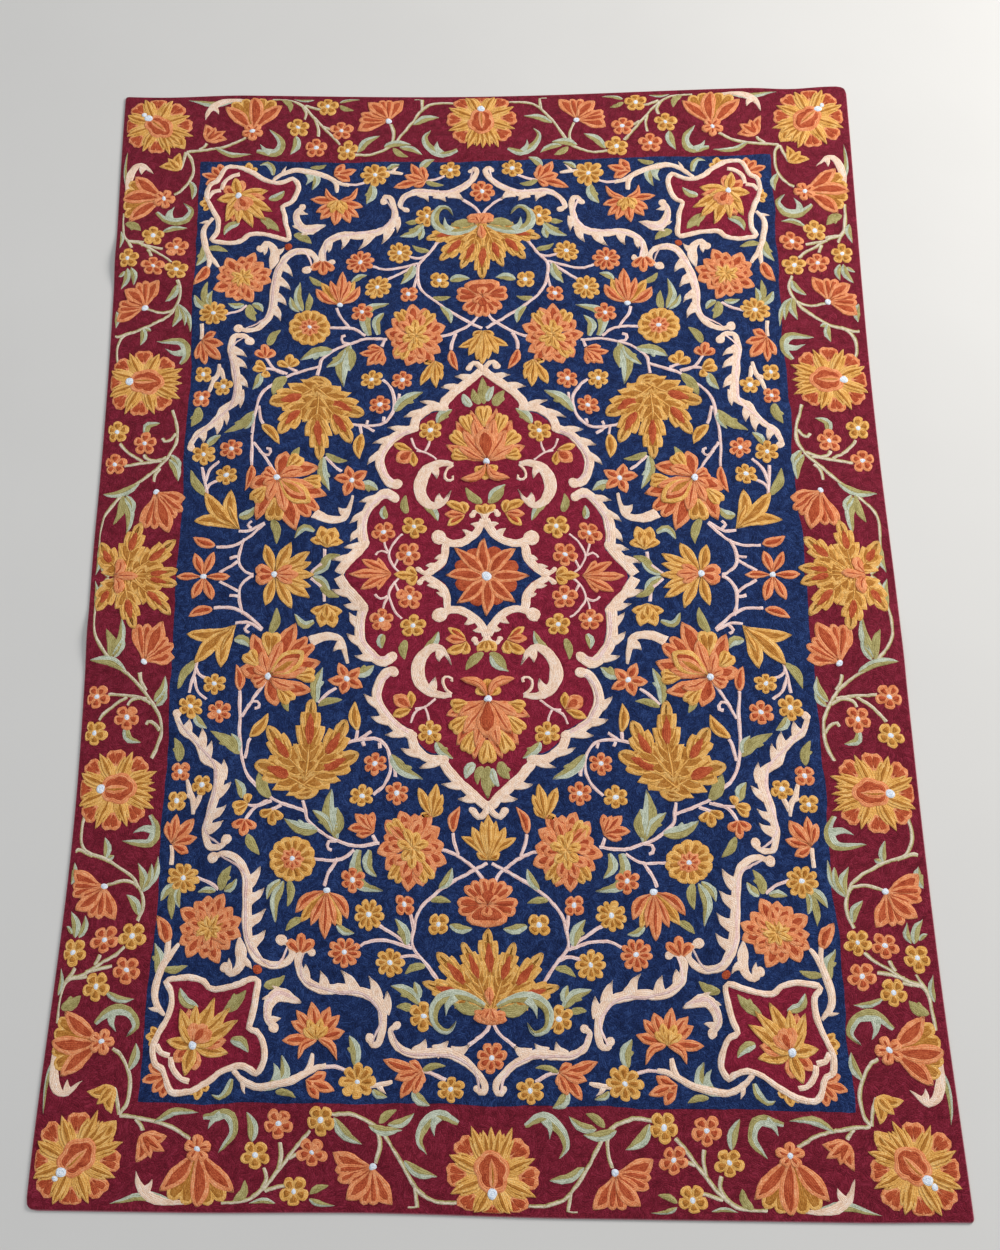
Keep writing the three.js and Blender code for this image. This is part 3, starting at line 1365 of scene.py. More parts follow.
@dataclass(frozen=True)
class Wiring:
    """Adds nodes to one node tree and joins them."""

    tree: bpy.types.NodeTree

    def feed(self, slots: bpy.types.bpy_prop_collection, values: dict) -> None:
        """Links readings to inputs and sets the other inputs to plain values.

        Args:
            slots: a node's inputs.
            values: what each input takes, by its name or place.
        """
        for name, value in values.items():
            if isinstance(value, Reading):
                self.tree.links.new(value.socket, slots[name])
            else:
                slots[name].default_value = value

    def add(self, kind: str, values: dict, outlet: str | int = 0, **settings: object) -> "Reading":
        """Adds one node.

        Args:
            kind: its type, without the prefix.
            values: what its inputs take, by name or place.
            outlet: the output to read.
            settings: its properties.

        Returns:
            What that output gives.
        """
        node = self.tree.nodes.new("ShaderNode" + kind)
        for name, value in settings.items():
            setattr(node, name, value)
        self.feed(node.inputs, values)
        return Reading(self, node.outputs[outlet])

    def math(self, kind: str, *values: object) -> "Reading":
        """Adds one math node."""
        return self.add("Math", dict(enumerate(values)), operation=kind)

    def mix(self, share: "Reading", first: object, second: object) -> "Reading":
        """Mixes two colours."""
        return self.add("Mix", {0: share, 6: first, 7: second}, 2, data_type="RGBA", clamp_factor=True)

    def ramp(self, share: "Reading", dark: tuple[int, int, int], pale: tuple[int, int, int]) -> "Reading":
        """Gives a colour between two shades.

        Args:
            share: how far from the dark shade to the pale one, from 0 to 1.
            dark, pale: the two shades, 0 to 255.

        Returns:
            The colour.
        """
        colour = self.add("ValToRGB", {0: share})
        for element, tone in zip(colour.socket.node.color_ramp.elements, (dark, pale)):
            element.color = shade(*tone)
        return colour

    def plan(self) -> "Reading":
        """Gives a surface's place in millimetres."""
        place = self.add("TexCoord", {}, "Object")
        return self.add("VectorMath", {"Vector": place, "Scale": 1 / MM}, operation="SCALE")

    def surface(self, values: dict) -> None:
        """Feeds the material's own shader."""
        self.feed(self.tree.nodes["Principled BSDF"].inputs, values)

    @classmethod
    def material(cls, name: str) -> tuple[bpy.types.Material, "Wiring"]:
        """Starts a material and its wiring.

        Args:
            name: the material's name.

        Returns:
            The material and its wiring.
        """
        material = bpy.data.materials.new(name)
        material.use_nodes = True
        return material, cls(material.node_tree)

    @classmethod
    def group(cls, name: str, inputs: dict[str, str], outputs: dict[str, str]) -> tuple["Wiring", dict]:
        """Starts a shader node group with named inputs and outputs.

        Args:
            name: the group's name.
            inputs: the kind of each input by name.
            outputs: the kind of each output by name.

        Returns:
            The group's wiring and what each input gives, by name.
        """
        tree = bpy.data.node_groups.new(name, "ShaderNodeTree")
        for names, way in ((inputs, "INPUT"), (outputs, "OUTPUT")):
            for label, kind in names.items():
                tree.interface.new_socket(label, in_out=way, socket_type="NodeSocket" + kind)
        wiring = cls(tree)
        start = tree.nodes.new("NodeGroupInput")
        return wiring, {label: Reading(wiring, start.outputs[label]) for label in inputs}

    def finish(self, **results: "Reading") -> bpy.types.NodeTree:
        """Feeds the group's outputs and gives the group."""
        self.feed(self.tree.nodes.new("NodeGroupOutput").inputs, results)
        return self.tree


@dataclass(frozen=True)
class Reading:
    """What one output gives. Plain arithmetic on it adds math nodes."""

    wiring: Wiring
    socket: bpy.types.NodeSocket

    def other(self, name: str) -> "Reading":
        """Gives another output of the same node."""
        return Reading(self.wiring, self.socket.node.outputs[name])

    def math(self, kind: str, *values: object) -> "Reading":
        """Adds one math node that takes this value first."""
        return self.wiring.math(kind, self, *values)

    def __add__(self, value: object) -> "Reading":
        """Adds a value."""
        return self.math("ADD", value)

    def __sub__(self, value: object) -> "Reading":
        """Takes a value away."""
        return self.math("SUBTRACT", value)

    def __rsub__(self, value: object) -> "Reading":
        """Is taken away from a value."""
        return self.wiring.math("SUBTRACT", value, self)

    def __mul__(self, value: object) -> "Reading":
        """Multiplies by a value."""
        return self.math("MULTIPLY", value)

    def __truediv__(self, value: object) -> "Reading":
        """Divides by a value."""
        return self.math("DIVIDE", value)


@dataclass
class WoolMaker:
    """Makes the wool's materials and the node groups that they share.

    Attributes:
        link: the length of one chain link, in row widths.
        relief: the height of a row of stitches, in millimetres.
        patch: the size of the patches that the rows of a plain ground run in, in millimetres.
    """

    link: float = 1.7
    relief: float = 0.7
    patch: float = 34.0

    def __post_init__(self) -> None:
        """Builds the shared groups once."""
        self.rows = self.rows_group()
        self.dye_and_shade = self.dye_and_shade_group()
        self.patches = self.patches_group()

    def rows_group(self) -> bpy.types.NodeTree:
        """Builds the group that turns a place in a patch into rows of chain links.

        Returns:
            The group: from a place in millimetres to the height of the wool and a value for each link.
        """
        wiring, given = Wiring.group(
            "ChainRows", {"Place": "Vector", "Row": "Float"}, {"Height": "Float", "Link": "Float"}
        )
        along = wiring.add("SeparateXYZ", {0: given["Place"]}, "X")
        across = along.other("Y") / given["Row"]
        row = across.math("FLOOR")
        off = (across.math("FRACT") - 0.5).math("ABSOLUTE")
        ridge = 1.0 - off.math("POWER", 2.0) * 3.4
        slanted = along / (given["Row"] * self.link) + row * 0.37 + off * 0.9
        bead = (slanted.math("FRACT") * math.pi).math("SINE")
        pair = wiring.add("CombineXYZ", {0: row, 1: slanted.math("FLOOR")})
        link = wiring.add("TexWhiteNoise", {"Vector": pair}, "Value", noise_dimensions="2D")
        return wiring.finish(Height=ridge * (bead * 0.5 + 0.5), Link=link)

    def patches_group(self) -> bpy.types.NodeTree:
        """Builds the group that turns the rows of a plain ground in small patches of their own direction.

        Returns:
            The group: from a place in millimetres to the same place turned and bent with its patch.
        """
        inputs = {"Place": "Vector", "Size": "Float"}
        wiring, given = Wiring.group("GroundPatches", inputs, {"Turned": "Vector"})
        place = given["Place"]
        cells = {"Vector": place, "Scale": wiring.math("DIVIDE", 1.0, given["Size"])}
        tone = wiring.add("TexVoronoi", cells, "Color", voronoi_dimensions="2D")
        angle = wiring.add("SeparateColor", {0: tone}) * math.tau
        turned = wiring.add("VectorRotate", {"Vector": place, "Angle": angle}, rotation_type="Z_AXIS")
        waves = {"Vector": place, "Scale": 0.045, "Detail": 1.0}
        bend = wiring.add("TexNoise", waves, "Color", noise_dimensions="2D")
        push = wiring.add("VectorMath", {"Vector": bend, "Scale": 22.0}, operation="SCALE")
        return wiring.finish(Turned=wiring.add("VectorMath", {0: turned, 1: push}))

    def dye_and_shade_group(self) -> bpy.types.NodeTree:
        """Builds the group that strays a yarn's colour from link to link and from place to place, and paints
        shade into the low furrows between rows.

        Returns:
            The group: from three shades, a place and the rows' values to a colour.
        """
        inputs = {"Middle": "Color", "Deep": "Color", "Pale": "Color", "Mottle": "Float", "Place": "Vector",
                  "Height": "Float", "Link": "Float"}
        wiring, given = Wiring.group("YarnDyeAndShade", inputs, {"Colour": "Color"})
        slow, fine = (
            wiring.add("TexNoise", {"Vector": given["Place"], **grain}, "Fac", noise_dimensions="2D")
            for grain in ({"Scale": 0.075, "Detail": 3.0, "Roughness": 0.6}, {"Scale": 0.55, "Detail": 2.0})
        )
        stray = (slow - 0.5) * given["Mottle"] * 3.2 + (fine - 0.5) * 2.4 + (given["Link"] - 0.5) * 0.85
        # painted shade: the colour goes towards the deep shade where the rows' height is low, in the furrows
        # between rows
        painted_groove_shade = (0.6 - given["Height"]) * 0.75
        dye_and_furrow_shade = (stray * -1.0).math("MAXIMUM", 0.0) + painted_groove_shade.math("MAXIMUM", 0.0)
        paler = wiring.mix(stray.math("MAXIMUM", 0.0), given["Middle"], given["Pale"])
        return wiring.finish(Colour=wiring.mix(dye_and_furrow_shade, paler, given["Deep"]))

    def wool(self, name: str, finish: WoolFinish) -> tuple[bpy.types.Material, Wiring, Reading]:
        """Makes the material of one yarn.

        Args:
            name: the material's name.
            finish: the yarn's finish.

        Returns:
            The material, its wiring and its colour.
        """
        material, wiring = Wiring.material(name)
        plan = wiring.plan()
        place = wiring.add("UVMap", {}, uv_map="Rows")
        if finish.patched:
            turning = {"Place": plan, "Size": self.patch}
            place = wiring.add("Group", turning, "Turned", node_tree=self.patches)
        height = wiring.add("Group", {"Place": place, "Row": finish.row}, "Height", node_tree=self.rows)
        shades = {"Middle": shade(*finish.colour), "Deep": shade(*finish.deep), "Pale": shade(*finish.pale)}
        lie = {"Mottle": finish.mottle, "Place": plan, "Height": height, "Link": height.other("Link")}
        # the colour holds random dye tones and painted shade in the furrows between rows
        colour = wiring.add("Group", {**shades, **lie}, node_tree=self.dye_and_shade)
        bump = wiring.add("Bump", {"Height": height, "Distance": self.relief * MM, "Strength": 0.8})
        wiring.surface({"Base Color": colour, "Normal": bump, "Roughness": 0.88, "Specular IOR Level": 0.12,
                        "Sheen Weight": 0.04, "Sheen Roughness": 0.5})
        return material, wiring, colour


@dataclass
class Pile:
    """Gathers the stitched patches of each yarn in one mesh that lies on the cloth.

    Attributes:
        needle: the needle that stitched them.
        maker: the maker of the wool's materials.
        drift: how far handwork strays over a long way, in millimetres.
        jitter: how far it strays from stitch to stitch.
    """

    needle: Needle
    maker: WoolMaker
    drift: float = 1.8
    jitter: float = 0.55

    def stray(self, spots: np.ndarray) -> np.ndarray:
        """Moves places a little, as a hand does, by smooth waves of several lengths.

        Args:
            spots: complex plan places.

        Returns:
            The places after the small moves.
        """
        dice = np.random.default_rng(7)
        moved = spots.copy()
        waves = (
            (210.0, self.drift), (95.0, self.drift * 0.6), (26.0, self.jitter), (11.0, self.jitter * 0.7),
        )
        for wave, size in waves:
            for turn in (1, 1, 1j, 1j):
                way = np.exp(1j * dice.uniform(0, math.tau)) * math.tau / wave
                phase = dice.uniform(0, math.tau)
                moved = moved + turn * size * 0.6 * np.sin((spots * way.conjugate()).real + phase)
        return moved

    def mesh(self, name: str, yarn: Yarn) -> bpy.types.Mesh:
        """Joins the patches of one yarn, each with its mirrored copies.

        Args:
            name: the mesh's name.
            yarn: the yarn.

        Returns:
            The mesh, in metres, with two UV maps: the plan for the bake and the rows of stitches.
        """
        places, lifts, rows, faces, count = [], [], [], [], 0
        middle = self.needle.middle
        for patch in (p for p in self.needle.patches if p.yarn is yarn):
            high, wide = patch.spots.shape
            index = np.arange(high * wide).reshape(high, wide)
            cells = np.stack([index[:-1, :-1], index[1:, :-1], index[1:, 1:], index[:-1, 1:]], -1)
            quads = cells.reshape(-1, 4)
            off = patch.spots - middle
            for side_x, side_y in patch.mirror.value:
                places.append((middle + side_x * off.real + 1j * side_y * off.imag).ravel())
                lifts.append(patch.above.ravel() + self.needle.step * (0.003 * side_x + 0.005 * side_y))
                rows.append(patch.rows.reshape(-1, 2))
                faces.append((quads if side_x == side_y else quads[:, ::-1]) + count)
                count += high * wide
        cloth = self.needle.cloth
        plan = cloth.within(self.stray(np.concatenate(places)))
        points = cloth.place(plan.real, plan.imag, np.concatenate(lifts))
        quads = np.concatenate(faces)
        mesh = bpy.data.meshes.new(name)
        mesh.vertices.add(len(points))
        mesh.vertices.foreach_set("co", points.ravel())
        mesh.loops.add(quads.size)
        mesh.loops.foreach_set("vertex_index", quads.ravel())
        mesh.polygons.add(len(quads))
        mesh.polygons.foreach_set("loop_start", np.arange(len(quads)) * 4)
        mesh.polygons.foreach_set("loop_total", np.full(len(quads), 4))
        mesh.polygons.foreach_set("use_smooth", np.ones(len(quads), dtype=bool))
        flat = points[:, :2] / (cloth.map_size * MM) + 0.5
        for label, places_on_map in (("OFBake", flat), ("Rows", np.concatenate(rows))):
            layer = mesh.uv_layers.new(name=label)
            layer.data.foreach_set("uv", places_on_map[quads.ravel()].ravel())
        mesh.update(calc_edges=True)
        mesh.validate()
        return mesh

    def build(self) -> list[bpy.types.Object]:
        """Makes one piece for each yarn and gives it its wool.

        Returns:
            The pieces.
        """
        pieces = []
        used = {patch.yarn for patch in self.needle.patches}
        for yarn in (y for y in Yarn if y in used):
            dye = yarn.name.lower()
            piece = new_object(dye + "_stitches", self.mesh(dye + "_stitches", yarn))
            piece.data.materials.append(self.maker.wool(dye + "_wool", yarn.value)[0])
            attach(piece, "root")
            LOG.info("%s: %d faces", piece.name, len(piece.data.polygons))
            pieces.append(piece)
        return pieces


@dataclass
class GroundCloth:
    """The cloth itself, stitched maroon all over, with its turned hem.

    Attributes:
        cloth: the lie of the cloth.
        maker: the maker of the wool's materials.
        cell: the size of the sheet's cells, in millimetres.
        field_x, field_y: half the size of the navy field, which lies in a shallow step of the ground.
        field_step: how deep that step is.
        hem: how far in from the edge the cloth rounds off.
    """

    cloth: ClothForm
    maker: WoolMaker
    cell: float = 10.0
    field_x: float = 466.0
    field_y: float = 770.0
    field_step: float = 0.5
    hem: float = 3.0

    def stations(self, half: float) -> np.ndarray:
        """Gives the lines of points from the middle outwards, closer together at the hem."""
        inner = np.linspace(0, half - 2 * self.hem, int(half / self.cell))
        return np.concatenate([inner, half - self.hem * np.array([1.2, 0.6, 0.25, 0.08, 0.0])])

    def sheet(self) -> bmesh.types.BMesh:
        """Makes the flat two-sided sheet: a grid, its copy below and the hem that joins them.

        Returns:
            The sheet, with X and Y from -1 to 1 in even steps and Z 1 at the top and 0 below.
        """
        sides = (self.cloth.width, self.cloth.length)
        columns, lines = (2 * (self.stations(side / 2).size - 1) for side in sides)
        bm = bmesh.new()
        bmesh.ops.create_grid(bm, x_segments=columns, y_segments=lines, size=1.0)
        bmesh.ops.translate(bm, verts=bm.verts, vec=(0, 0, 1))
        copied = bmesh.ops.duplicate(bm, geom=bm.faces[:])["geom"]
        below = [item for item in copied if isinstance(item, bmesh.types.BMVert)]
        bmesh.ops.translate(bm, verts=below, vec=(0, 0, -1))
        bmesh.ops.reverse_faces(bm, faces=[item for item in copied if isinstance(item, bmesh.types.BMFace)])
        bmesh.ops.bridge_loops(bm, edges=[edge for edge in bm.edges if edge.is_boundary])
        return bm

    def build(self) -> bpy.types.Object:
        """Lays the sheet on its form and gives it its wool and its cotton back.

        Returns:
            The cloth's piece.
        """
        bm = self.sheet()
        flat = np.array([v.co[:] for v in bm.verts])
        plain = []
        for axis, half in ((0, self.cloth.width / 2), (1, self.cloth.length / 2)):
            stations = self.stations(half)
            even = np.linspace(0, 1, stations.size)
            plain.append(np.sign(flat[:, axis]) * np.interp(np.abs(flat[:, axis]), even, stations))
        x, y = plain
        edge = np.minimum(self.cloth.width / 2 - np.abs(x), self.cloth.length / 2 - np.abs(y))
        rounding = 1 - np.sqrt(1 - np.clip(1 - edge / self.hem, 0, 1) ** 2)
        top = flat[:, 2] > 0.5
        thick = self.cloth.thickness - self.cloth.pile
        covered = (np.abs(x) < self.field_x) & (np.abs(y) < self.field_y)
        above = np.where(top, -rounding * thick / 2 - self.field_step * covered, -thick * (1 - rounding / 2))
        for vert, point in zip(bm.verts, self.cloth.place(x, y, above)):
            vert.co = point
        self.write_maps(bm, x, y, top)
        mesh = bpy.data.meshes.new("maroon_cloth")
        bm.normal_update()
        bm.to_mesh(mesh)
        bm.free()
        piece = new_object("maroon_cloth", mesh)
        mesh.materials.append(self.hemmed())
        mesh.materials.append(self.backing())
        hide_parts("rug_cloth")
        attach(piece, "root")
        LOG.info("%s: %d faces", piece.name, len(mesh.polygons))
        return piece

    def write_maps(self, bm: bmesh.types.BMesh, x: np.ndarray, y: np.ndarray, top: np.ndarray) -> None:
        """Gives the sheet its two UV maps and tells its wool faces from those of its back.

        Args:
            bm: the sheet.
            x, y: the place of each point on the plain rectangle, in millimetres.
            top: whether each point lies on top.
        """
        plan = bm.loops.layers.uv.new("OFBake")
        rows = bm.loops.layers.uv.new("Rows")
        size = self.cloth.map_size
        for face in bm.faces:
            under = all(not top[loop.vert.index] for loop in face.loops)
            narrow, shift = (0.45, 0.84) if under else (1, 0.34)
            face.material_index = int(under)
            face.smooth = True
            for loop in face.loops:
                index = loop.vert.index
                loop[plan].uv = (x[index] / size * narrow + shift, y[index] / size + 0.5)
                loop[rows].uv = (x[index], y[index])

    def hemmed(self) -> bpy.types.Material:
        """Makes the maroon wool with a paler line along the edge, over the turned hem.

        Returns:
            The material.
        """
        material, wiring, colour = self.maker.wool("maroon_wool", Yarn.MAROON.value)
        across = wiring.add("SeparateXYZ", {0: wiring.add("UVMap", {}, uv_map="Rows")}, "X")
        from_side = self.cloth.width / 2 - across.math("ABSOLUTE")
        from_end = self.cloth.length / 2 - across.other("Y").math("ABSOLUTE")
        reach = {"Value": from_side.math("MINIMUM", from_end), "From Min": 1.6, "From Max": 0.4,
                 "To Min": 0.0, "To Max": 0.6}
        # a paler pink line in the last millimetre or so of the edge
        pale_edge_line = wiring.add("MapRange", reach)
        wiring.surface({"Base Color": wiring.mix(pale_edge_line, colour, shade(206, 150, 158))})
        return material

    def backing(self) -> bpy.types.Material:
        """Makes the plain-woven cotton of the underside.

        Returns:
            The material.
        """
        material, wiring = Wiring.material("cotton_back")
        thread = {"Vector": wiring.plan(), "Scale": 0.24, "Distortion": 0.6}
        warp, weft = (wiring.add("TexWave", thread, "Fac", bands_direction=way) for way in "XY")
        weave = warp * weft
        bump = wiring.add("Bump", {"Height": weave, "Distance": 0.3 * MM})
        colour = wiring.ramp(weave, (196, 184, 160), (226, 216, 196))
        wiring.surface({"Base Color": colour, "Normal": bump, "Roughness": 0.92})
        return material


@dataclass
class Border:
    """The wide maroon border: palmettes, lilies, tulips and small flowers on cream vines."""

    vine_width: float = 4.6
    palmettes: tuple[RoundPalmette, ...] = (
        RoundPalmette(-549, 850, -45, 2), RoundPalmette(-541, 340, 0),
    )
    end_palmettes: tuple[RoundPalmette, ...] = (
        RoundPalmette(-3, 857, -90),
    )
    lilies: tuple[Motif, ...] = (
        CrownLily(-388, 833, 90), CrownLily(-530, 698, 180, 72), Lily(-160, 853, 130, 48),
        Lily(-547, 482, 138, 48),
        Spray(-509, 143, warm((-530, 86, 24, 0.08), (-462, 134, 26, -0.1))
            + warm((-514, 80, 30), (-470, 106, 30), notched=True) + warm((-484, 75, 28)), 4.8),
        Tulip(-508, 757, 130, 36, 40, 3, Tone.GOLDEN), Tulip(-463, 815, 52, 38, 46, 4, Tone.WARM),
        Bud((-524, 824), (-500, 800), 26, Tone.GOLDEN),
    )
    blooms: tuple[Bloom, ...] = (
        Bloom(-260, 887), Bloom(-311, 842), Bloom(-238, 836, tone=Tone.WARM),
        Bloom(-282, 800, tone=Tone.WARM), Bloom(-227, 795), Bloom(-542, 622),
        Bloom(-502, 600, tone=Tone.WARM), Bloom(-580, 575), Bloom(-538, 558, tone=Tone.WARM),
        Bloom(-500, 553), Bloom(-575, 252), Bloom(-529, 230, tone=Tone.WARM),
        Bloom(-575, 195, tone=Tone.WARM),
    )
    vines: tuple[tuple[Spot, ...], ...] = (
        ((-497, 795), (-470, 797), (-430, 806), (-405, 818), (-398, 822)),
        ((-475, 798), (-466, 806), (-463, 812)),
        ((-497, 795), (-488, 780), (-485, 755), (-490, 735), (-503, 715), (-515, 707)),
        ((-497, 795), (-500, 780), (-505, 765), (-508, 758)),
        ((-357, 905), (-325, 902), (-300, 885), (-280, 860), (-262, 835), (-240, 808)),
        ((-303, 888), (-296, 872), (-300, 858)), ((-280, 860), (-277, 840), (-278, 822)),
        ((-300, 889), (-280, 882), (-268, 880)), ((-268, 845), (-258, 840), (-250, 838)),
        ((-215, 787), (-190, 785), (-170, 792), (-150, 805), (-140, 820), (-125, 845), (-110, 870),
            (-95, 885), (-75, 892), (-50, 893)),
        ((-105, 875), (-103, 890), (-103, 902), (-115, 903)),
        ((-158, 800), (-152, 812), (-151, 830), (-157, 848)),
        ((-594, 672), (-594, 650), (-590, 625), (-580, 612), (-560, 605), (-540, 592), (-520, 580),
            (-508, 568)),
        ((-590, 622), (-580, 608), (-574, 596)), ((-580, 612), (-565, 610), (-555, 608)),
        ((-560, 603), (-535, 598), (-522, 596)), ((-548, 594), (-543, 585), (-541, 578)),
        ((-496, 533), (-490, 515), (-492, 495), (-500, 480), (-520, 474), (-545, 480)),
        ((-497, 485), (-505, 470), (-525, 455), (-550, 440), (-575, 430), (-585, 415), (-586, 395),
            (-583, 378)),
        ((-565, 436), (-585, 428), (-597, 430)),
        ((-490, 293), (-482, 270), (-478, 250), (-480, 230), (-490, 210), (-500, 195), (-515, 178),
            (-535, 160), (-555, 145), (-575, 120), (-587, 95), (-590, 60), (-585, 30), (-575, 10),
            (-567, 2)),
        ((-480, 250), (-487, 240), (-497, 235), (-502, 242)),
        ((-493, 208), (-510, 200), (-525, 203), (-530, 212)), ((-500, 200), (-530, 195), (-560, 191)),
        ((-530, 197), (-550, 210), (-565, 225), (-570, 232)), ((-502, 187), (-510, 175), (-513, 160)),
    )
    leaves: tuple[Motif, ...] = (
        *foliage((-415, 905, -500, 908, 11), (-590, 715, -600, 795, 11), (-450, 803, -388, 788, 9, -0.12)),
        CurlLeaf(((-382, 793), (-350, 790), (-341, 812), (-360, 838)), 15, (-375, 808)),
        *foliage((-340, 903, -325, 875, 11, 0.2, Yarn.OLIVE), (-315, 825, -325, 787, 13),
            (-283, 903, -320, 906, 7), (-240, 895, -205, 903, 9),
            (-240, 890, -215, 878, 8, -0.1, Yarn.OLIVE), (-490, 735, -482, 698, 11)),
        CurlLeaf(((-540, 672), (-520, 655), (-495, 655), (-483, 675), (-497, 692)), 16, (-510, 685)),
        *foliage((-590, 650, -562, 632, 14, 0.1, Yarn.OLIVE), (-600, 635, -600, 597, 11),
            (-528, 630, -487, 638, 9), (-580, 555, -592, 518, 11), (-575, 555, -570, 523, 9),
            (-585, 550, -600, 540, 7), (-495, 525, -515, 495, 11), (-600, 478, -595, 445, 15),
            (-492, 490, -500, 447, 12), (-492, 490, -480, 447, 11), (-492, 490, -470, 435, 9),
            (-548, 442, -550, 410, 10), (-545, 440, -535, 437, 7)),
        CurlLeaf(((-485, 375), (-475, 395), (-485, 418), (-525, 417)), 15, (-510, 405)),
        *foliage((-530, 243, -507, 268, 11, 0.3), (-487, 212, -473, 183, 11), (-490, 205, -475, 162, 12),
            (-535, 157, -595, 140, 12), (-560, 138, -570, 88, 12, 0.1, Yarn.OLIVE),
            (-555, 138, -545, 98, 11), (-560, 135, -548, 68, 12), (-590, 50, -593, 5, 12),
            (-210, 790, -173, 823, 13), (-165, 800, -120, 805, 12),
            (-150, 798, -125, 780, 10, -0.1, Yarn.OLIVE), (-140, 800, -102, 783, 10)),
        CurlLeaf(((-45, 795), (-70, 785), (-92, 800), (-98, 820), (-88, 835)), 15, (-78, 812)),
        *foliage((-120, 845, -75, 862, 12)),
    )
    horns: tuple[Motif, ...] = (
        Scroll(((-402, 904), (-430, 905), (-452, 895), (-464, 880), (-468, 862)), 17, ((-446, 874),),
            shape=swelling_point, back=10, tooth=7),
        Scroll(((-591, 698), (-594, 730), (-588, 755), (-574, 766), (-552, 748)), 17, ((-572, 746),),
            shape=swelling_point, back=10, tooth=7),
    )
    side_palmette: Feathered = Feathered((
        Frond((-545, 2), (-587, 58), 44, 3, 0.05),
        Frond((-543, 2), (-528, 91), 44, 4, 0.03),
        Frond((-540, 2), (-473, 64), 44, 4, -0.03),
        Frond((-540, 2), (-464, 14), 40, 3, -0.03),
    ))
    side_flame: tuple[Motif, ...] = (
        Spray(-560, 1, warm((-554, 32, 19, -0.2), (-554, -30, 19, 0.2), (-522, 1, 17)),
            level=FLOWER_LEVEL + 16),
    )

    def stitch(self, needle: Needle) -> None:
        """Stitches the border: vines, then leaves, then flowers.

        Args:
            needle: the needle.
        """
        vines = (Vine(line, self.vine_width, Yarn.CREAM, True) for line in self.vines)
        flowers = (*self.lilies, *self.blooms, *self.palmettes, self.side_palmette)
        needle.stitch(Mirror.QUARTERS, *vines, *self.leaves, *self.horns, *flowers)
        needle.stitch(Mirror.ENDS, *self.end_palmettes)
        needle.stitch(Mirror.SIDES, *self.side_flame)


GOLD_STAR = (Ring(7, 0, 21, 12, Tone.GOLDEN, lance, 10, 0.12, 2.8),)


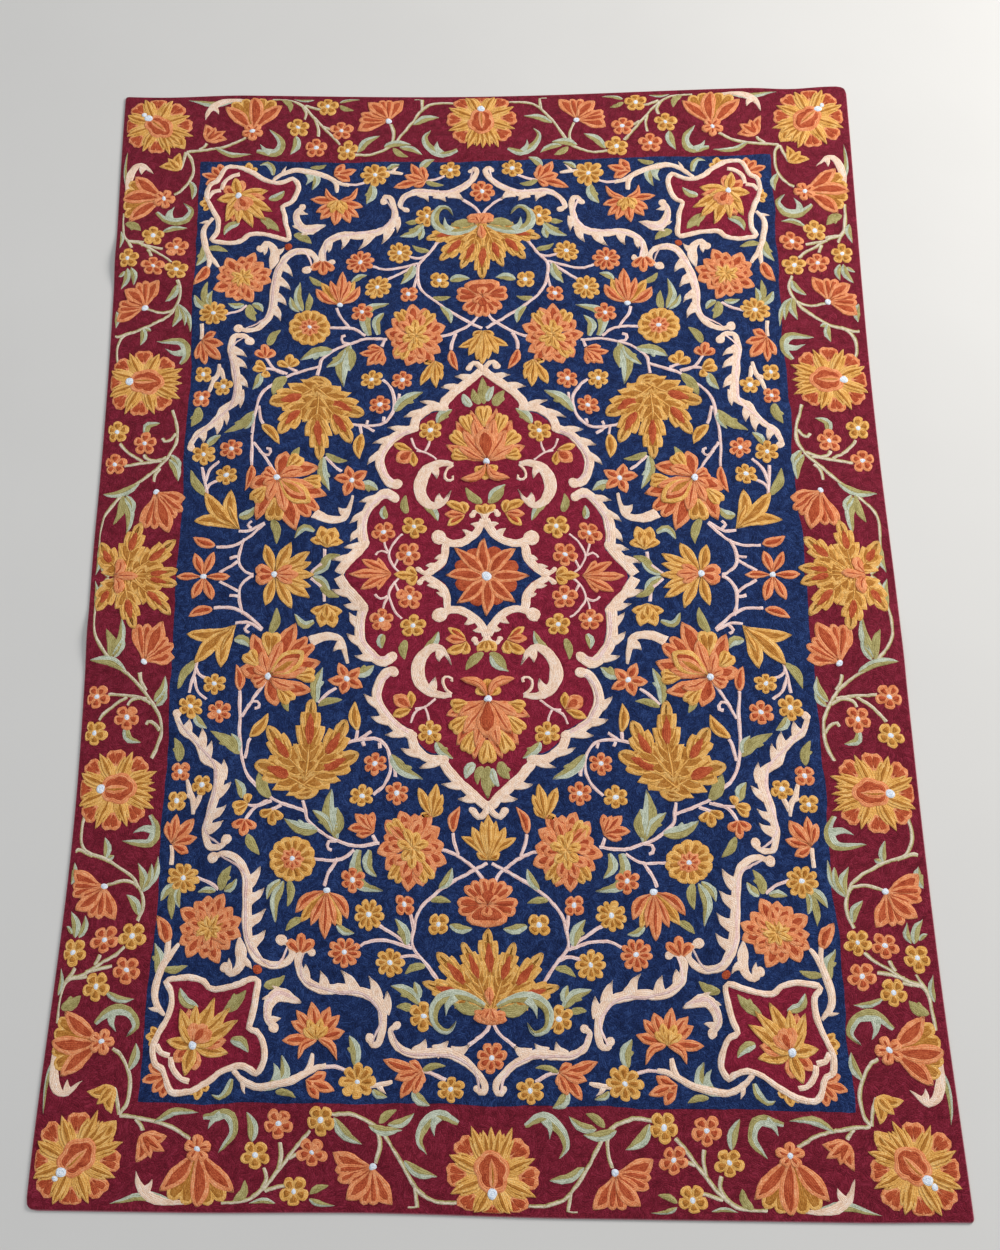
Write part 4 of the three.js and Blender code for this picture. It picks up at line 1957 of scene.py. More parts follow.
@dataclass
class Field:
    """The navy field with its vines, flowers and leafy scroll bands."""

    vine_width: float = 5.6
    half_width: float = 475.0
    half_length: float = 777.0
    blooms: tuple[Motif, ...] = (
        Bloom(-180, 741, 8, 24), Bloom(-54, 751, 6, 18), Bloom(-94, 656, 6, 20),
        Bloom(-201, 569, 9, 22, Tone.WARM), Bloom(-139, 586, 8, 20), Bloom(-170, 517, 9, 21),
        Bloom(-120, 504, 4, 15, Tone.WARM, 45), Bloom(-72, 530, 4, 16, turn=45), Bloom(-433, 469, 9, 23),
        Bloom(-195, 468, 6, 18, Tone.WARM), Bloom(-448, 355, 4, 15, turn=45), Bloom(-414, 333, 5, 15),
        Bloom(-447, 313, 4, 15, Tone.WARM, 45), Bloom(-181, 345, 6, 17), Bloom(-132, 343, 6, 17, Tone.WARM),
        Bloom(-164, 298, 6, 17, Tone.WARM), Bloom(-435, 212, 6, 19), Bloom(-393, 219, 6, 18, Tone.WARM),
        Bloom(-400, 173, 6, 17), DoubleBloom(-280, 441),
    )
    buds: tuple[Motif, ...] = (
        Spray(-92, 726, warm((-121, 765, 17, 0.06), (-147, 714, 17, -0.05), (-97, 747, 15), (-103, 759, 15),
            (-112, 715, 14), (-130, 739, 17))),
        Spray(-435, 740, warm((-472, 749, 15), (-441, 772, 16), (-464, 727, 16), (-455, 764, 16)),
            level=0.5),
        Spray(-388, 748, golden((-406, 766, 13), (-378, 760, 13), (-394, 772, 15)), level=0.5),
        Spray(-450, 690, golden((-463, 675, 12), (-464, 704, 12), (-470, 690, 15)), level=0.5),
        Spray(-250, 743, warm((-231, 769, 17), (-222, 730, 16, 0.1), (-211, 755, 16), (-238, 752, 13))),
        trefoil(-348, 383, (-365, 396), (-334, 399), (-350, 410)),
        trefoil(-345, 359, (-363, 376), (-368, 363), (-347, 345), tone=Tone.GOLDEN),
        trefoil(-309, 368, (-329, 378), (-311, 393), (-296, 383), tone=Tone.GOLDEN),
        trefoil(-262, 573, (-280, 553), (-243, 553), (-261, 543)),
        Spray(-162, 402, warm((-201, 395, 15, 0.1), (-164, 370, 15, -0.1), (-189, 405, 14), (-190, 371, 17),
            (-176, 372, 14))),
        Spray(-82, 380, golden((-98, 374, 13), (-66, 362, 13), (-102, 333, 16), (-67, 343, 15),
            (-77, 328, 16))),
        Bud((-450, 562), (-470, 523), 20), Bud((-55, 402), (-42, 361), 15, bend=-0.1),
        Bud((-348, 260), (-320, 224), 17, Tone.GOLDEN),
        Bud((-192, 247), (-195, 202), 17, Tone.GOLDEN, -0.08), Bud((-362, 187), (-370, 143), 15),
        Bud((-410, 55), (-447, 68), 17),
        Spray(-240, 46, golden((-265, 58, 16, -0.2), (-216, 57, 16, 0.2), (-250, 84, 22), (-229, 84, 22),
            (-240, 72, 18))),
        Spray(-231, 485, golden((-265, 530, 17), (-208, 533, 17)) + warm((-272, 517, 17, 0.12),
            (-199, 522, 17, -0.12), (-249, 534, 15), (-216, 533, 15), (-229, 552, 18)), 5.0),
    )
    flowers: tuple[Motif, ...] = (
        Spray(-237, 690, warm((-286, 694, 16), (-198, 677, 16), (-274, 666, 17), (-206, 655, 16),
            (-267, 652, 17), (-220, 645, 17), (-245, 640, 18)) + warm((-262, 717, 12, 0.2),
            (-208, 716, 12, -0.2), shape=lance)),
        Spray(-239, 693, golden((-257, 676, 13), (-222, 672, 13), (-250, 663, 14), (-231, 661, 14),
            (-241, 669, 17)), level=FLOWER_LEVEL + 12),
        Rosette(-392, 540, (Ring(13, 10, 47, 22, Tone.WARM, flame, 8, 0.1),
            Ring(9, 6, 35, 18, Tone.WARM, flame, 25), Ring(6, 3, 25, 13, Tone.GLOW, flame, 12),
            *GOLD_STAR)),
        Rosette(-110, 424, (Ring(14, 12, 47, 23, Tone.WARM, flame, 6, 0.1),
            Ring(10, 6, 37, 19, Tone.WARM, flame, 20), Ring(7, 0, 24, 16, Tone.GOLDEN, flame, 0, 0.1),
            Ring(4, 0, 13, 9, Tone.GOLDEN)), 1.2),
        Spray(-112, 424, golden((-138, 472, 26), (-84, 470, 26), (-140, 384, 26), notched=True),
            level=FLOWER_LEVEL + 3),
        Spray(-322, 164, warm((-309, 213, 26), (-258, 187, 26, 0.08), (-246, 139, 30))
            + warm((-262, 106, 36), notched=True) + warm((-287, 76, 30), (-351, 95, 24), (-363, 149, 26))
            + warm((-345, 176, 27), notched=True) + golden((-287, 206, 27), notched=True, start=0.4)
            + golden((-253, 161, 27), notched=True, start=0.55) + golden((-322, 92, 33), notched=True,
            start=0.45) + golden((-357, 125, 27), notched=True, start=0.4)
            + warm((-281, 182, 19, 0.1), (-264, 150, 19), (-306, 106, 20), (-334, 124, 17), (-343, 150, 15))
            + petals(Tone.FLAME, (-270, 124, 36)) + petals(Tone.GLOW, (-277, 134, 22)), 5.5),
        Spray(-451, 419, warm((-426, 433, 15), (-414, 409, 16), (-446, 373, 15), (-460, 384, 15),
            (-420, 381, 20))),
        Spray(-375, 80, golden((-448, 96, 22, -0.12), (-392, 149, 22, 0.1), (-433, 144, 24, 0.05),
            (-410, 112, 11), (-394, 124, 10))),
        Rosette(-208, 166, (Ring(5, 2, 28, 18, Tone.WARM, lance, 12, 0.05),), dot=4.6),
    )
    vines: tuple[tuple[Spot, ...], ...] = (
        ((-240, 728), (-215, 723), (-195, 727)), ((-96, 726), (-80, 729), (-60, 739)),
        ((-5, 660), (-12, 673), (-24, 684), (-36, 693)),
        ((-73, 612), (-82, 600), (-92, 585), (-108, 562), (-107, 535), (-100, 512), (-85, 495), (-60, 475),
            (-35, 458), (-20, 448), (-5, 440)),
        ((-95, 580), (-110, 575), (-130, 581)), ((-108, 565), (-140, 555), (-165, 553), (-182, 560)),
        ((-112, 562), (-135, 545), (-162, 528)), ((-107, 540), (-112, 515)),
        ((-76, 424), (-62, 427), (-40, 437), (-22, 450), (-12, 462), (-10, 472)),
        ((-45, 433), (-53, 415), (-55, 400)),
        ((-155, 418), (-190, 420), (-215, 413), (-235, 405), (-258, 385), (-262, 368), (-265, 352)),
        ((-215, 413), (-228, 415), (-230, 425), (-222, 428)), ((-190, 425), (-215, 440), (-252, 441)),
        ((-215, 437), (-230, 460), (-236, 480)), ((-165, 405), (-160, 418)),
        ((-262, 370), (-290, 360), (-310, 352), (-330, 338), (-350, 318), (-358, 295), (-362, 260),
            (-362, 230), (-362, 185)),
        ((-310, 355), (-330, 362), (-348, 362)), ((-295, 360), (-315, 370)),
        ((-315, 355), (-335, 365), (-348, 385)), ((-355, 295), (-350, 270), (-345, 260)),
        ((-360, 230), (-345, 205), (-330, 180), (-322, 170)),
        ((-352, 214), (-343, 205), (-334, 207), (-335, 216), (-342, 217)),
        ((-165, 345), (-150, 330), (-142, 310), (-143, 290), (-150, 272), (-165, 260), (-190, 260),
            (-212, 265)),
        ((-135, 320), (-136, 305), (-140, 300)), ((-158, 275), (-160, 265)), ((-190, 260), (-172, 248)),
        ((-185, 262), (-182, 270)), ((-195, 262), (-192, 245)), ((-250, 208), (-235, 190), (-222, 180)),
        ((-438, 190), (-433, 165), (-430, 150), (-428, 135)), ((-410, 200), (-425, 185), (-432, 160)),
        ((-412, 165), (-425, 158), (-430, 148)), ((-378, 78), (-358, 78), (-335, 92)),
        ((-355, 80), (-362, 88), (-355, 95)), ((-410, 53), (-385, 53), (-365, 62), (-350, 75), (-335, 90)),
        ((-365, 65), (-372, 45), (-373, 25), (-365, 10), (-355, 3), (-350, 3)),
        ((-374, 28), (-385, 20), (-398, 12), (-404, 8)), ((-374, 35), (-388, 33)),
        ((-243, 45), (-245, 25), (-258, 10), (-265, 5)), ((-380, 487), (-395, 475), (-416, 467)),
        ((-97, 395), (-97, 383)),
    )
    leaves: tuple[Motif, ...] = (
        CurlLeaf(((-348, 742), (-352, 758), (-362, 768), (-374, 764)), 11),
        CurlLeaf(((-305, 757), (-288, 748), (-278, 735), (-284, 712)), 17, (-295, 722)),
        *foliage((-290, 760, -260, 767, 9, -0.1, Yarn.OLIVE), (-160, 752, -138, 764, 9),
            (-95, 727, -62, 720, 9, -0.1, Yarn.OLIVE), (-104, 752, -82, 774, 14),
            (-184, 722, -193, 681, 15), (-98, 642, -140, 617, 14),
            (-108, 648, -132, 645, 10, 0.1, Yarn.OLIVE), (-105, 637, -108, 610, 12),
            (-312, 622, -281, 604, 13, 0.1, Yarn.OLIVE), (-116, 562, -134, 523, 14),
            (-90, 590, -120, 602, 10, 0.15, Yarn.OLIVE), (-57, 530, -23, 534, 13),
            (-85, 497, -54, 500, 9, -0.1, Yarn.OLIVE), (-72, 482, -54, 448, 12),
            (-242, 400, -294, 381, 17, -0.1), (-215, 412, -224, 333, 19, -0.1),
            (-218, 408, -215, 362, 12, 0.1, Yarn.OLIVE), (-222, 405, -252, 368, 14),
            (-312, 352, -334, 313, 16, -0.1, Yarn.OLIVE), (-362, 287, -407, 250, 15, 0.1, Yarn.OLIVE),
            (-364, 284, -376, 252, 11), (-354, 354, -367, 323, 13),
            (-344, 406, -324, 438, 12, 0.1, Yarn.OLIVE), (-291, 472, -298, 532, 13),
            (-285, 470, -284, 510, 11, -0.1, Yarn.OLIVE), (-295, 470, -314, 502, 10),
            (-260, 524, -285, 542, 10, 0.1, Yarn.OLIVE), (-215, 530, -188, 542, 10)),
        CurlLeaf(((-185, 425), (-192, 450), (-183, 475), (-150, 485)), 19),
        CurlLeaf(((-170, 425), (-174, 448), (-160, 466)), 15),
        *foliage((-143, 284, -96, 322, 16, 0.12), (-250, 212, -213, 200, 11, -0.1, Yarn.OLIVE),
            (-252, 207, -242, 147, 14, -0.1), (-197, 158, -166, 146, 15),
            (-430, 138, -455, 184, 13, 0.1, Yarn.OLIVE), (-378, 104, -352, 118, 14, -0.2),
            (-326, 97, -316, 53, 13, 0.1, Yarn.OLIVE), (-297, 193, -290, 222, 11, 0.1, Yarn.OLIVE)),
        CurlLeaf(((-258, 74), (-275, 80), (-289, 62)), 13),
        *foliage((-250, 18, -220, 36, 11, 0.1, Yarn.OLIVE), (-262, 0, -233, -28, 11),
            (-443, 478, -466, 505, 12), (-443, 482, -447, 530, 11, 0.1, Yarn.OLIVE),
            (-440, 482, -437, 514, 10), (-458, 607, -469, 560, 14),
            (-454, 597, -418, 592, 10, 0.1, Yarn.OLIVE), (-378, 489, -364, 452, 14, -0.1, Yarn.OLIVE),
            (-374, 490, -355, 472, 11), (-384, 488, -413, 491, 10),
            (-450, 299, -459, 260, 14, 0.1, Yarn.OLIVE), (-430, 225, -410, 247, 12)),
    )
    bands: tuple[Motif, ...] = (
        Scroll(((-20, 748), (-14, 754), (-10, 746), (-15, 733), (-30, 718), (-47, 708), (-66, 702),
            (-88, 704), (-109, 705), (-125, 699), (-134, 689), (-137, 677), (-129, 670)), 13, ((-90, 685),
            (-61, 687), (-32, 690)), (5, 6), back=-14),
        Scroll(((-164, 687), (-161, 695), (-153, 694), (-149, 683), (-148, 662), (-153, 639), (-171, 627),
            (-186, 623), (-206, 620), (-227, 623), (-245, 617), (-256, 607), (-261, 597), (-264, 579),
            (-255, 568), (-246, 571)), 14, ((-143, 624), (-168, 603), (-205, 594), (-233, 596),
            (-253, 588)), (7, 6)),
        Scroll(((-288, 554), (-276, 561), (-272, 574), (-282, 587), (-299, 591), (-317, 586), (-329, 568),
            (-336, 545), (-340, 510), (-341, 478), (-348, 454), (-360, 440), (-376, 434), (-391, 439)), 14,
            ((-311, 541), (-313, 514), (-317, 484), (-324, 453)), (8, 8)),
        Scroll(((-373, 414), (-378, 422), (-388, 425), (-398, 421), (-403, 400), (-399, 381), (-396, 362),
            (-392, 343), (-389, 324), (-391, 309), (-401, 301), (-412, 295), (-417, 282), (-424, 270),
            (-433, 260), (-446, 251), (-453, 238), (-456, 229), (-455, 224)), 14, ((-377, 383), (-375, 361),
            (-372, 327), (-385, 293), (-404, 264), (-418, 246), (-437, 231)), (8, 7)),
        Scroll(((-422, 375), (-423, 362), (-426, 351), (-431, 343), (-437, 324)), 9),
        Scroll(((-421, 368), (-417, 354), (-413, 343)), 8), Scroll(((-426, 351), (-436, 345)), 8),
        Scroll(((-451, 450), (-450, 435), (-451, 419)), 7, shape=strap),
        Scroll(((-258, 641), (-270, 637), (-285, 631), (-298, 636), (-305, 652), (-305, 668), (-297, 678)),
            20, ((-286, 664), (-313, 640), (-300, 620)), (0, 7), belly, 8, 8),
        Scroll(((-347, 552), (-345, 566), (-343, 584), (-347, 598), (-358, 604), (-367, 594)), 18,
            ((-361, 581), (-327, 599)), (0, 7), belly, 8, 8),
        Scroll(((-264, 108), (-240, 98), (-216, 104), (-206, 142)), 18, ((-228, 122),), shape=horn_back,
            back=8),
        Scroll(((-349, 732), (-333, 747), (-314, 755), (-295, 752), (-266, 743), (-240, 728), (-222, 722)),
            11, ((-328, 764),), back=10, tooth=5),
        Scroll(((-256, 739), (-246, 726), (-242, 707)), 9),
        Scroll(((-445, 660), (-457, 643), (-460, 624), (-455, 600), (-449, 580), (-449, 556)), 11,
            ((-469, 648),), back=8, tooth=5),
        Scroll(((-455, 602), (-447, 582), (-433, 560)), 9),
        Scroll(((-165, 748), (-149, 746), (-131, 742)), 8, ((-140, 760),), back=8, tooth=4.5),
    )
    palmettes: tuple[Feathered, ...] = (
        Feathered((Frond((-262, 268), (-264, 352), 92, 3, 0.0, None),
            Frond((-250, 340), (-340, 301), 62, 4, 0.05), Frond((-272, 336), (-188, 280), 62, 4, -0.05),
            Frond((-258, 322), (-321, 243), 50, 4, -0.05), Frond((-264, 320), (-208, 230), 50, 4, 0.05),
            Frond((-262, 325), (-258, 199), 50, 5))),
        Feathered((Frond((-6, 630), (-97, 612), 40, 5, -0.04), Frond((-5, 640), (-75, 570), 46, 5, -0.04),
            Frond((-4, 645), (-38, 554), 42, 5, 0.0))),
    )
    axis_palmette: Feathered = Feathered((Frond((-3, 645), (-3, 532), 46, 5),))
    wings: tuple[Motif, ...] = (
        *foliage((-14, 643, -56, 638, 15, -0.1, Yarn.OLIVE), (-20, 643, -43, 649, 9, -0.1, Yarn.OLIVE),
            level=FLOWER_LEVEL + 6),
        CurlLeaf(((-10, 639), (-26, 631), (-43, 627), (-62, 629), (-75, 636), (-81, 649), (-79, 665),
            (-69, 675), (-58, 674), (-50, 660)), 16, (-65, 656), level=FLOWER_LEVEL + 7),
    )
    axis_flowers: tuple[Motif, ...] = (
        Bloom(-3, 706, 7, 20, Tone.WARM),
        Spray(-5, 640, warm((-5, 664, 46), shape=teardrop) + warm((-28, 646, 15, -0.3), (18, 646, 15, 0.3),
            (-14, 661, 16), (4, 661, 16), (-5, 612, 15)), level=FLOWER_LEVEL + 12),
        Spray(-5, 500, warm((-47, 506, 30), (37, 506, 30), (-32, 470, 28), (22, 470, 28), (-5, 460, 28),
            notched=True) + warm((-5, 532, 58), shape=teardrop) + petals(Tone.EMBER, (-5, 524, 34))
            + warm((-5, 519, 20), (-22, 488, 14), (12, 488, 14)) + petals(Tone.EMBER, (-5, 478, 17))),
        Spray(-5, 436, golden((-44, 406, 14, 0.1), (34, 407, 14, -0.1), (-22, 427, 11), (12, 427, 11),
            (-29, 391, 16), (19, 391, 16), (-14, 381, 15), (5, 381, 15), (-5, 371, 17))),
    )
    side_flowers: tuple[Motif, ...] = (
        Spray(-426, 2, warm((-467, 2, 15), (-385, 2, 15), (-442, 42, 16), (-412, 44, 16), (-442, -38, 16),
            (-412, -40, 16)), 5.0),
        Spray(-320, 2, golden((-332, 54, 18), (-332, -50, 18), (-293, 57, 19), (-293, -53, 19),
            (-265, 40, 19), (-265, -36, 19), (-262, 23, 16), (-262, -19, 16), (-258, 2, 18))
            + warm((-349, 14, 22), (-349, -10, 22), shape=teardrop) + warm((-290, 18, 15), (-290, -14, 15),
            (-280, 2, 18)), 5.6),
    )

    def ground(self, needle: Needle) -> None:
        """Lays the navy ground, a little over the maroon one, with its edge down on the cloth.

        Args:
            needle: the needle.
        """
        lines = []
        for half, count in ((self.half_width, 95), (self.half_length, 157)):
            even = np.linspace(-half, half, count)
            lines.append(np.concatenate([[-half, 1 - half], even[1:-1], [half - 1, half]]))
        y, x = np.meshgrid(lines[1], lines[0])
        above = np.full(x.shape, 2 * needle.step)
        above[[0, -1]] = above[:, [0, -1]] = 0.0
        needle.patches.append(Patch(Yarn.NAVY, x + 1j * y, above, np.stack([x, y], axis=-1), Mirror.ONCE))

    def stitch(self, needle: Needle) -> None:
        """Stitches the field: its ground, vines, leaves, bands and flowers.

        Args:
            needle: the needle.
        """
        self.ground(needle)
        needle.base = 2
        vines = (Vine(line, self.vine_width) for line in self.vines)
        flowers = (*self.buds, *self.blooms, *self.flowers, *self.palmettes, *self.wings)
        needle.stitch(Mirror.QUARTERS, *vines, *self.leaves, *self.bands, *flowers)
        needle.dot(-320 + 599j, 6.5, FLOWER_LEVEL, Yarn.RUST)
        needle.stitch(Mirror.ENDS, self.axis_palmette, *self.axis_flowers)
        needle.stitch(Mirror.SIDES, *self.side_flowers)


@dataclass
class CornerCartouches:
    """The four maroon cartouches in the field's corners, each with a gold star flower."""

    outline: tuple[Spot, ...] = (
        (-424, 764), (-404, 761), (-383, 749), (-361, 733), (-340, 728), (-326, 732), (-316, 737),
        (-307, 722), (-310, 701), (-319, 686), (-330, 680), (-326, 664), (-323, 645), (-320, 613),
        (-343, 618), (-362, 622), (-385, 622), (-396, 612), (-416, 608), (-433, 610), (-446, 614),
        (-438, 628), (-437, 651), (-444, 670), (-453, 689), (-458, 705), (-454, 726), (-442, 735),
        (-433, 757),
    )
    band: float = 9.0
    curl: float = 8.4
    curls: tuple[tuple[Spot, ...], ...] = (
        ((-433, 716), (-430, 731), (-418, 744), (-404, 748)), ((-455, 700), (-447, 712), (-433, 716)),
    )
    flowers: tuple[Motif, ...] = (
        Spray(-404, 702, warm((-399, 735, 20), (-430, 724, 20)) + golden((-412, 742, 20), (-355, 712, 21),
            (-441, 697, 20), shape=lance) + warm((-413, 650, 20), (-359, 695, 19))
            + golden((-425, 650, 20), (-378, 634, 22), (-345, 668, 22), (-403, 644, 18), (-356, 648, 20),
            (-369, 692, 17), (-425, 674, 15), shape=lance) + warm((-404, 668, 19), (-378, 680, 19),
            (-388, 670, 24)), 6.0),
    )
    leaves: tuple[Motif, ...] = (
        *foliage((-356, 694, -328, 713, 13, -0.15), (-399, 648, -427, 622, 13, -0.2),
            (-366, 656, -334, 626, 15, 0.05, Yarn.OLIVE)),
    )

    def stitch(self, needle: Needle) -> None:
        """Stitches the maroon ground, the band round it, and the flower in it.

        Args:
            needle: the needle.
        """
        needle.base = 0
        needle.stitch(Mirror.QUARTERS, Region(Yarn.CLARET, self.outline, -385 + 685j, 4))
        needle.base = 4
        edge = Path.over(self.outline, closed=True)
        needle.blade(Yarn.PEACH, edge, self.band / 2, strap, SCROLL_LEVEL, closed=True)
        for line in self.curls:
            needle.blade(Yarn.PEACH, Path.over(line), self.curl / 2, strap, SCROLL_LEVEL)
        needle.stitch(Mirror.QUARTERS, *self.leaves, *self.flowers)


@dataclass
class Medallion:
    """The scalloped maroon medallion: leafy scrolls round it, a palmette at each end and a star in it."""

    vine_width: float = 4.4
    outline: tuple[Spot, ...] = (
        (-3, 360), (-20, 343), (-40, 325), (-60, 302), (-66, 286), (-85, 283), (-104, 266), (-113, 248),
        (-130, 240), (-152, 217), (-158, 188), (-147, 165), (-150, 145), (-168, 125), (-180, 100),
        (-182, 72), (-179, 50), (-195, 34), (-213, 3),
    )
    star: tuple[Spot, ...] = (
        (-3, 93), (-9, 75), (-22, 64), (-38, 56), (-56, 52), (-59, 30), (-68, 15), (-78, 7), (-92, 1),
    )
    bands: tuple[tuple[tuple[Spot, ...], float, tuple[float, ...], float, Spot], ...] = (
        (((-5, 360), (-18, 348), (-30, 337), (-47, 323), (-62, 306), (-68, 294)), 15, (0.42, 0.72), 21,
            (0, 7.5)),
        (((-66, 292), (-88, 290), (-107, 274), (-113, 258)), 15, (0.42, 0.85), 20, (7.5, 7.5)),
        (((-112, 254), (-132, 246), (-152, 226), (-163, 200), (-160, 178), (-150, 160), (-138, 157)), 15,
            (0.24, 0.44, 0.64), 20, (7, 9)),
        (((-140, 134), (-155, 142), (-172, 128), (-186, 106), (-189, 78), (-186, 52)), 16,
            (0.44, 0.68, 0.92), 20, (8, 7)),
        (((-184, 56), (-198, 38), (-212, 20), (-222, 3)), 16, (0.42, 0.8), 20, (7, 0)),
    )
    curls: tuple[Motif, ...] = (
        Scroll(((-53, 193), (-71, 194), (-89, 186), (-100, 167), (-101, 145), (-91, 126), (-77, 119),
            (-63, 128), (-52, 148)), 24, ((-71, 143), (-76, 165)), shape=swelling_point, back=16, tooth=10),
        Scroll(((-53, 193), (-62, 184), (-66, 171), (-60, 164), (-52, 167), (-54, 173)), 5, shape=strap),
        Scroll(((-4, 98), (-10, 82), (-21, 67), (-37, 57), (-54, 55), (-72, 64)), 13, ((-25, 88),
            (-37, 79)), (0, 12), strap, 5, 9),
        Scroll(((-58, 58), (-62, 48), (-63, 37), (-69, 24), (-83, 11), (-98, 1)), 13, ((-80, 29),
            (-95, 17)), (0, 0), strap, 11, 9),
        Scroll(((-3, 350), (-7, 368), (-18, 376), (-25, 367)), 10, knobs=(0, 6), shape=strap),
        Scroll(((-3, 96), (-8, 108), (-17, 112), (-22, 104)), 8, knobs=(0, 5), shape=strap),
        Scroll(((-92, 3), (-99, 7), (-104, 12)), 8, knobs=(0, 5), shape=strap),
    )
    leaves: tuple[Motif, ...] = (
        *foliage((-78, 262, -52, 290, 14), (-6, 125, -32, 154, 13, 0.1, Yarn.OLIVE),
            (-96, 126, -73, 91, 13), (-152, 95, -155, 122, 12),
            (-120, 105, -122, 140, 12, 0.1, Yarn.OLIVE)),
    )
    vines: tuple[tuple[Spot, ...], ...] = (
        ((-76, 199), (-95, 213), (-110, 216)), ((-98, 214), (-110, 222), (-116, 239)),
        ((-95, 213), (-90, 225), (-88, 236)),
        ((-126, 71), (-138, 60), (-145, 48), (-149, 35), (-143, 18), (-134, 7), (-128, 3)),
        ((-156, 60), (-154, 48), (-149, 35)), ((-149, 36), (-155, 40), (-163, 41), (-170, 33)),
        ((-141, 14), (-138, 22), (-133, 31)),
    )
    flowers: tuple[Motif, ...] = (
        Bloom(-87, 250, 6, 18), Bloom(-157, 73, 5, 18, Tone.WARM, -90), Bloom(-110, 82, 5, 19, turn=-90),
        Bloom(-119, 37, 5, 19, Tone.WARM, -90),
        Spray(-113, 216, golden((-113, 187, 15), (-143, 227, 15)) + warm((-139, 195, 25))),
        Spray(-32, 106, petals(Tone.FLAME, (-60, 84, 15)) + golden((-38, 130, 16, -0.1),
            (-62, 126, 17, -0.15)) + warm((-64, 104, 17))),
    )
    palmette: tuple[Motif, ...] = (
        Spray(-3, 198, paired(-3, warm((-64, 226, 21), (-48, 269, 23), (-24, 290, 23))
            + golden((-57, 213, 25), (-55, 248, 25), notched=True, start=0.5)
            + golden((-35, 280, 25), notched=True, start=0.55)) + golden((-3, 297, 29), notched=True,
            start=0.6) + paired(-3, warm((-47, 225, 17), (-38, 252, 19), (-20, 272, 19),
            (-41, 167, 15, 0.25))) + warm((-3, 256, 35)) + petals(Tone.EMBER, (-3, 246, 20)), 5.8),
        trefoil(-3, 190, (-21, 181), (15, 181), (-3, 165), tone=Tone.GOLDEN, width=16),
        Spray(-3, 104, golden((-17, 124, 15), (11, 124, 15), (-3, 126, 15))),
    )
    end_leaves: tuple[Motif, ...] = (
        *foliage((-21, 294, -35, 321, 14, 0.1, Yarn.SAGE), (-9, 298, -18, 329, 12, 0.1, Yarn.OLIVE),
            (-3, 298, -3, 349, 16, 0.0, Yarn.OLIVE), (3, 302, 15, 332, 12, 0.1, Yarn.SAGE),
            (15, 292, 31, 323, 15, 0.1, Yarn.OLIVE), (3, 126, 29, 156, 13)),
    )
    side_flowers: tuple[Motif, ...] = (
        Spray(-144, 2, warm((-165, 31, 15, 0.15), (-165, -27, 15, -0.15), (-190, 28, 16), (-190, -24, 16),
            (-207, 2, 17))),
        Spray(-107, 1, golden((-122, 15, 16), (-122, -13, 16), shape=teardrop) + golden((-142, 1, 16))),
    )
    star_petals: int = 8

    @staticmethod
    def all_round(quarter: tuple[Spot, ...]) -> tuple[Spot, ...]:
        """Mirrors a quarter of an outline about both middle lines and joins the four parts.

        Args:
            quarter: its places from the top middle line to the left one.

        Returns:
            The whole outline.
        """
        left = [(x, 2 - y) for x, y in reversed(quarter[:-1])]
        half = [*quarter, *left]
        return (*half, *[(-6 - x, y) for x, y in reversed(half[1:-1])])

    def stitch(self, needle: Needle) -> None:
        """Stitches the grounds, the bands round them and the flowers.

        Args:
            needle: the needle.
        """
        needle.base = 0
        ground = Region(Yarn.CLARET, self.all_round(self.outline), needle.middle, 4)
        star = Region(Yarn.NAVY, self.all_round(self.star), needle.middle, 6, 8)
        needle.stitch(Mirror.ONCE, ground, star)
        needle.base = 4
        vines = (Vine(line, self.vine_width) for line in self.vines)
        bands = (
            Scroll(spots, width, comb(spots, shares, reach), knobs, strap, 17, 9.5)
            for spots, width, shares, reach, knobs in self.bands
        )
        needle.stitch(Mirror.QUARTERS, *vines, *self.leaves, *bands, *self.curls, *self.flowers)
        needle.stitch(Mirror.ENDS, *self.end_leaves, *self.palmette)
        needle.stitch(Mirror.SIDES, *self.side_flowers)
        needle.base = 6
        rings = (Ring(self.star_petals, 10, 51, 24, Tone.EMBER, teardrop, 22.5, 0.0),
                 Ring(self.star_petals, 5, 64, 23, Tone.WARM, lance, 0, 0.02, 4.4))
        needle.stitch(Mirror.ONCE, Rosette(-3, 2, rings, dot=8.5))


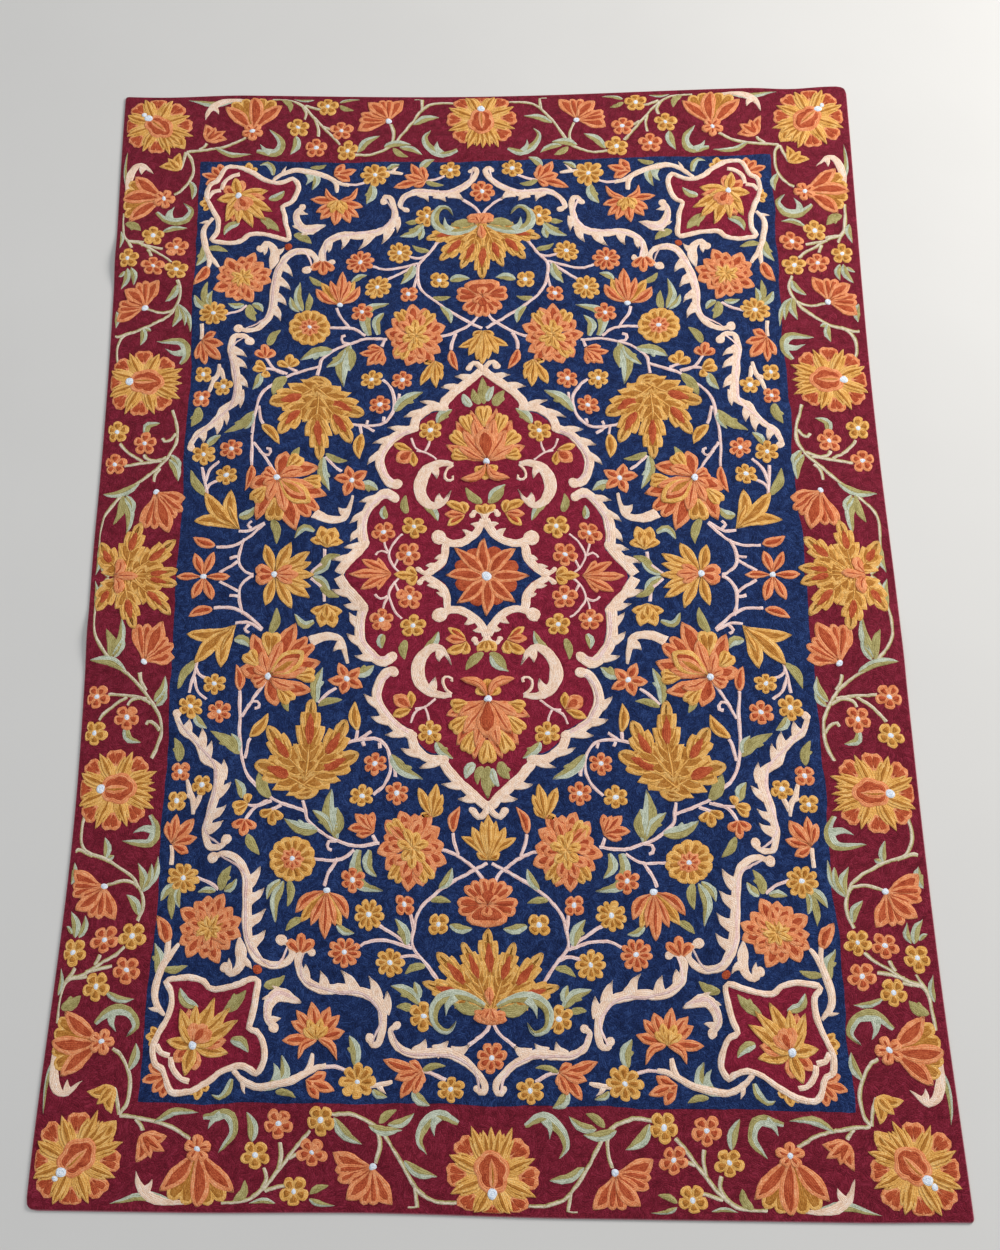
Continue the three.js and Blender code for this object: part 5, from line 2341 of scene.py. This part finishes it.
@dataclass
class Studio:
    """The plain pale floor, the soft lights and the camera.

    Attributes:
        cloth: the lie of the cloth, which the camera's place was found from.
        place, aim: where the camera stands and looks, in metres from the middle of the plain rectangle.
        roll: how far it is turned about its line of sight, in radians.
        lens, sensor: its focal length and the width of its picture, in millimetres.
        floor_size: the side of the floor, in metres.
        glow: the strength of the light from all round.
    """

    cloth: ClothForm
    place: Place = (0.017, -1.2575, 2.5312)
    aim: Place = (0.0117, -0.0778, 0.0)
    roll: float = -0.0138
    lens: float = 54.72
    sensor: float = 36.0
    floor_size: float = 24.0
    glow: float = 0.46

    def build(self) -> None:
        """Makes the camera, the floor, the lights and the world."""
        self.camera()
        self.floor()
        self.light("key", (3.0, 1.7, 2.2), 1.8, 152.0, (1.0, 0.98, 0.95))
        self.light("fill", (-2.8, -1.0, 3.0), 3.0, 24.0, (0.93, 0.96, 1.0))
        world = bpy.data.worlds.new("studio")
        world.use_nodes = True
        sky = {"Color": (0.9, 0.94, 1.0, 1.0), "Strength": self.glow}
        Wiring(world.node_tree).feed(world.node_tree.nodes["Background"].inputs, sky)
        bpy.context.scene.world = world
        bpy.context.scene.view_settings.view_transform = "Standard"

    def camera(self) -> None:
        """Sets the camera at the photograph's viewing angle."""
        shift = Vector((self.cloth.middle.x, self.cloth.middle.y, 0)) * MM
        place = Vector(self.place) - shift
        ahead = (Vector(self.aim) - shift - place).normalized()
        right = ahead.cross(Vector((0, 0, 1))).normalized()
        across = right * math.cos(self.roll) + right.cross(ahead) * math.sin(self.roll)
        data = bpy.data.cameras.new("camera")
        data.lens = self.lens
        data.sensor_width = self.sensor
        data.sensor_fit = "AUTO"
        camera = new_object("camera", data)
        turned = camera.matrix_world.to_3x3()
        for index, axis in enumerate((across, (-ahead).cross(across), -ahead)):
            turned.col[index] = axis
        camera.matrix_world = turned.to_4x4()
        camera.location = place
        bpy.context.scene.camera = camera

    def floor(self) -> None:
        """Lays the plain pale floor just under the rug."""
        bm = bmesh.new()
        bmesh.ops.create_grid(bm, x_segments=2, y_segments=2, size=self.floor_size / 2)
        mesh = bpy.data.meshes.new("floor")
        bm.to_mesh(mesh)
        bm.free()
        material, wiring = Wiring.material("pale_floor")
        place = wiring.add("TexCoord", {}, "Object")
        noise = wiring.add("TexNoise", {"Vector": place, "Scale": 3.0, "Detail": 3.0}, "Fac")
        wiring.surface({"Base Color": wiring.ramp(noise, (209, 207, 203), (216, 214, 210)), "Roughness": 0.8})
        mesh.materials.append(material)
        floor = new_object("floor", mesh)

    def light(self, name: str, place: Place, size: float, power: float, colour: Place) -> None:
        """Hangs one soft square light that faces the rug's middle.

        Args:
            name: its name.
            place: where it hangs, in metres.
            size: its side, in metres.
            power: its power, in watts.
            colour: its red, green and blue, from 0 to 1.
        """
        data = bpy.data.lights.new(name, "AREA")
        data.size = size
        data.energy = power
        data.color = colour
        lamp = new_object(name, data)
        lamp.location = place
        lamp.rotation_euler = (-Vector(place)).to_track_quat("-Z", "Y").to_euler()


def main() -> None:
    """Builds the rug and its studio."""
    logging.basicConfig(level=logging.INFO, format="%(message)s")
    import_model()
    cloth = ClothForm()
    low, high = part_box("rug_cloth")
    cloth.centre(Vector(low), Vector(high))
    Studio(cloth).build()
    maker = WoolMaker()
    ground = GroundCloth(cloth, maker).build()
    needle = Needle(cloth)
    for part in (Border(), Field(), CornerCartouches(), Medallion()):
        part.stitch(needle)
    pieces = Pile(needle, maker).build()


if __name__ == "__main__":
    main()
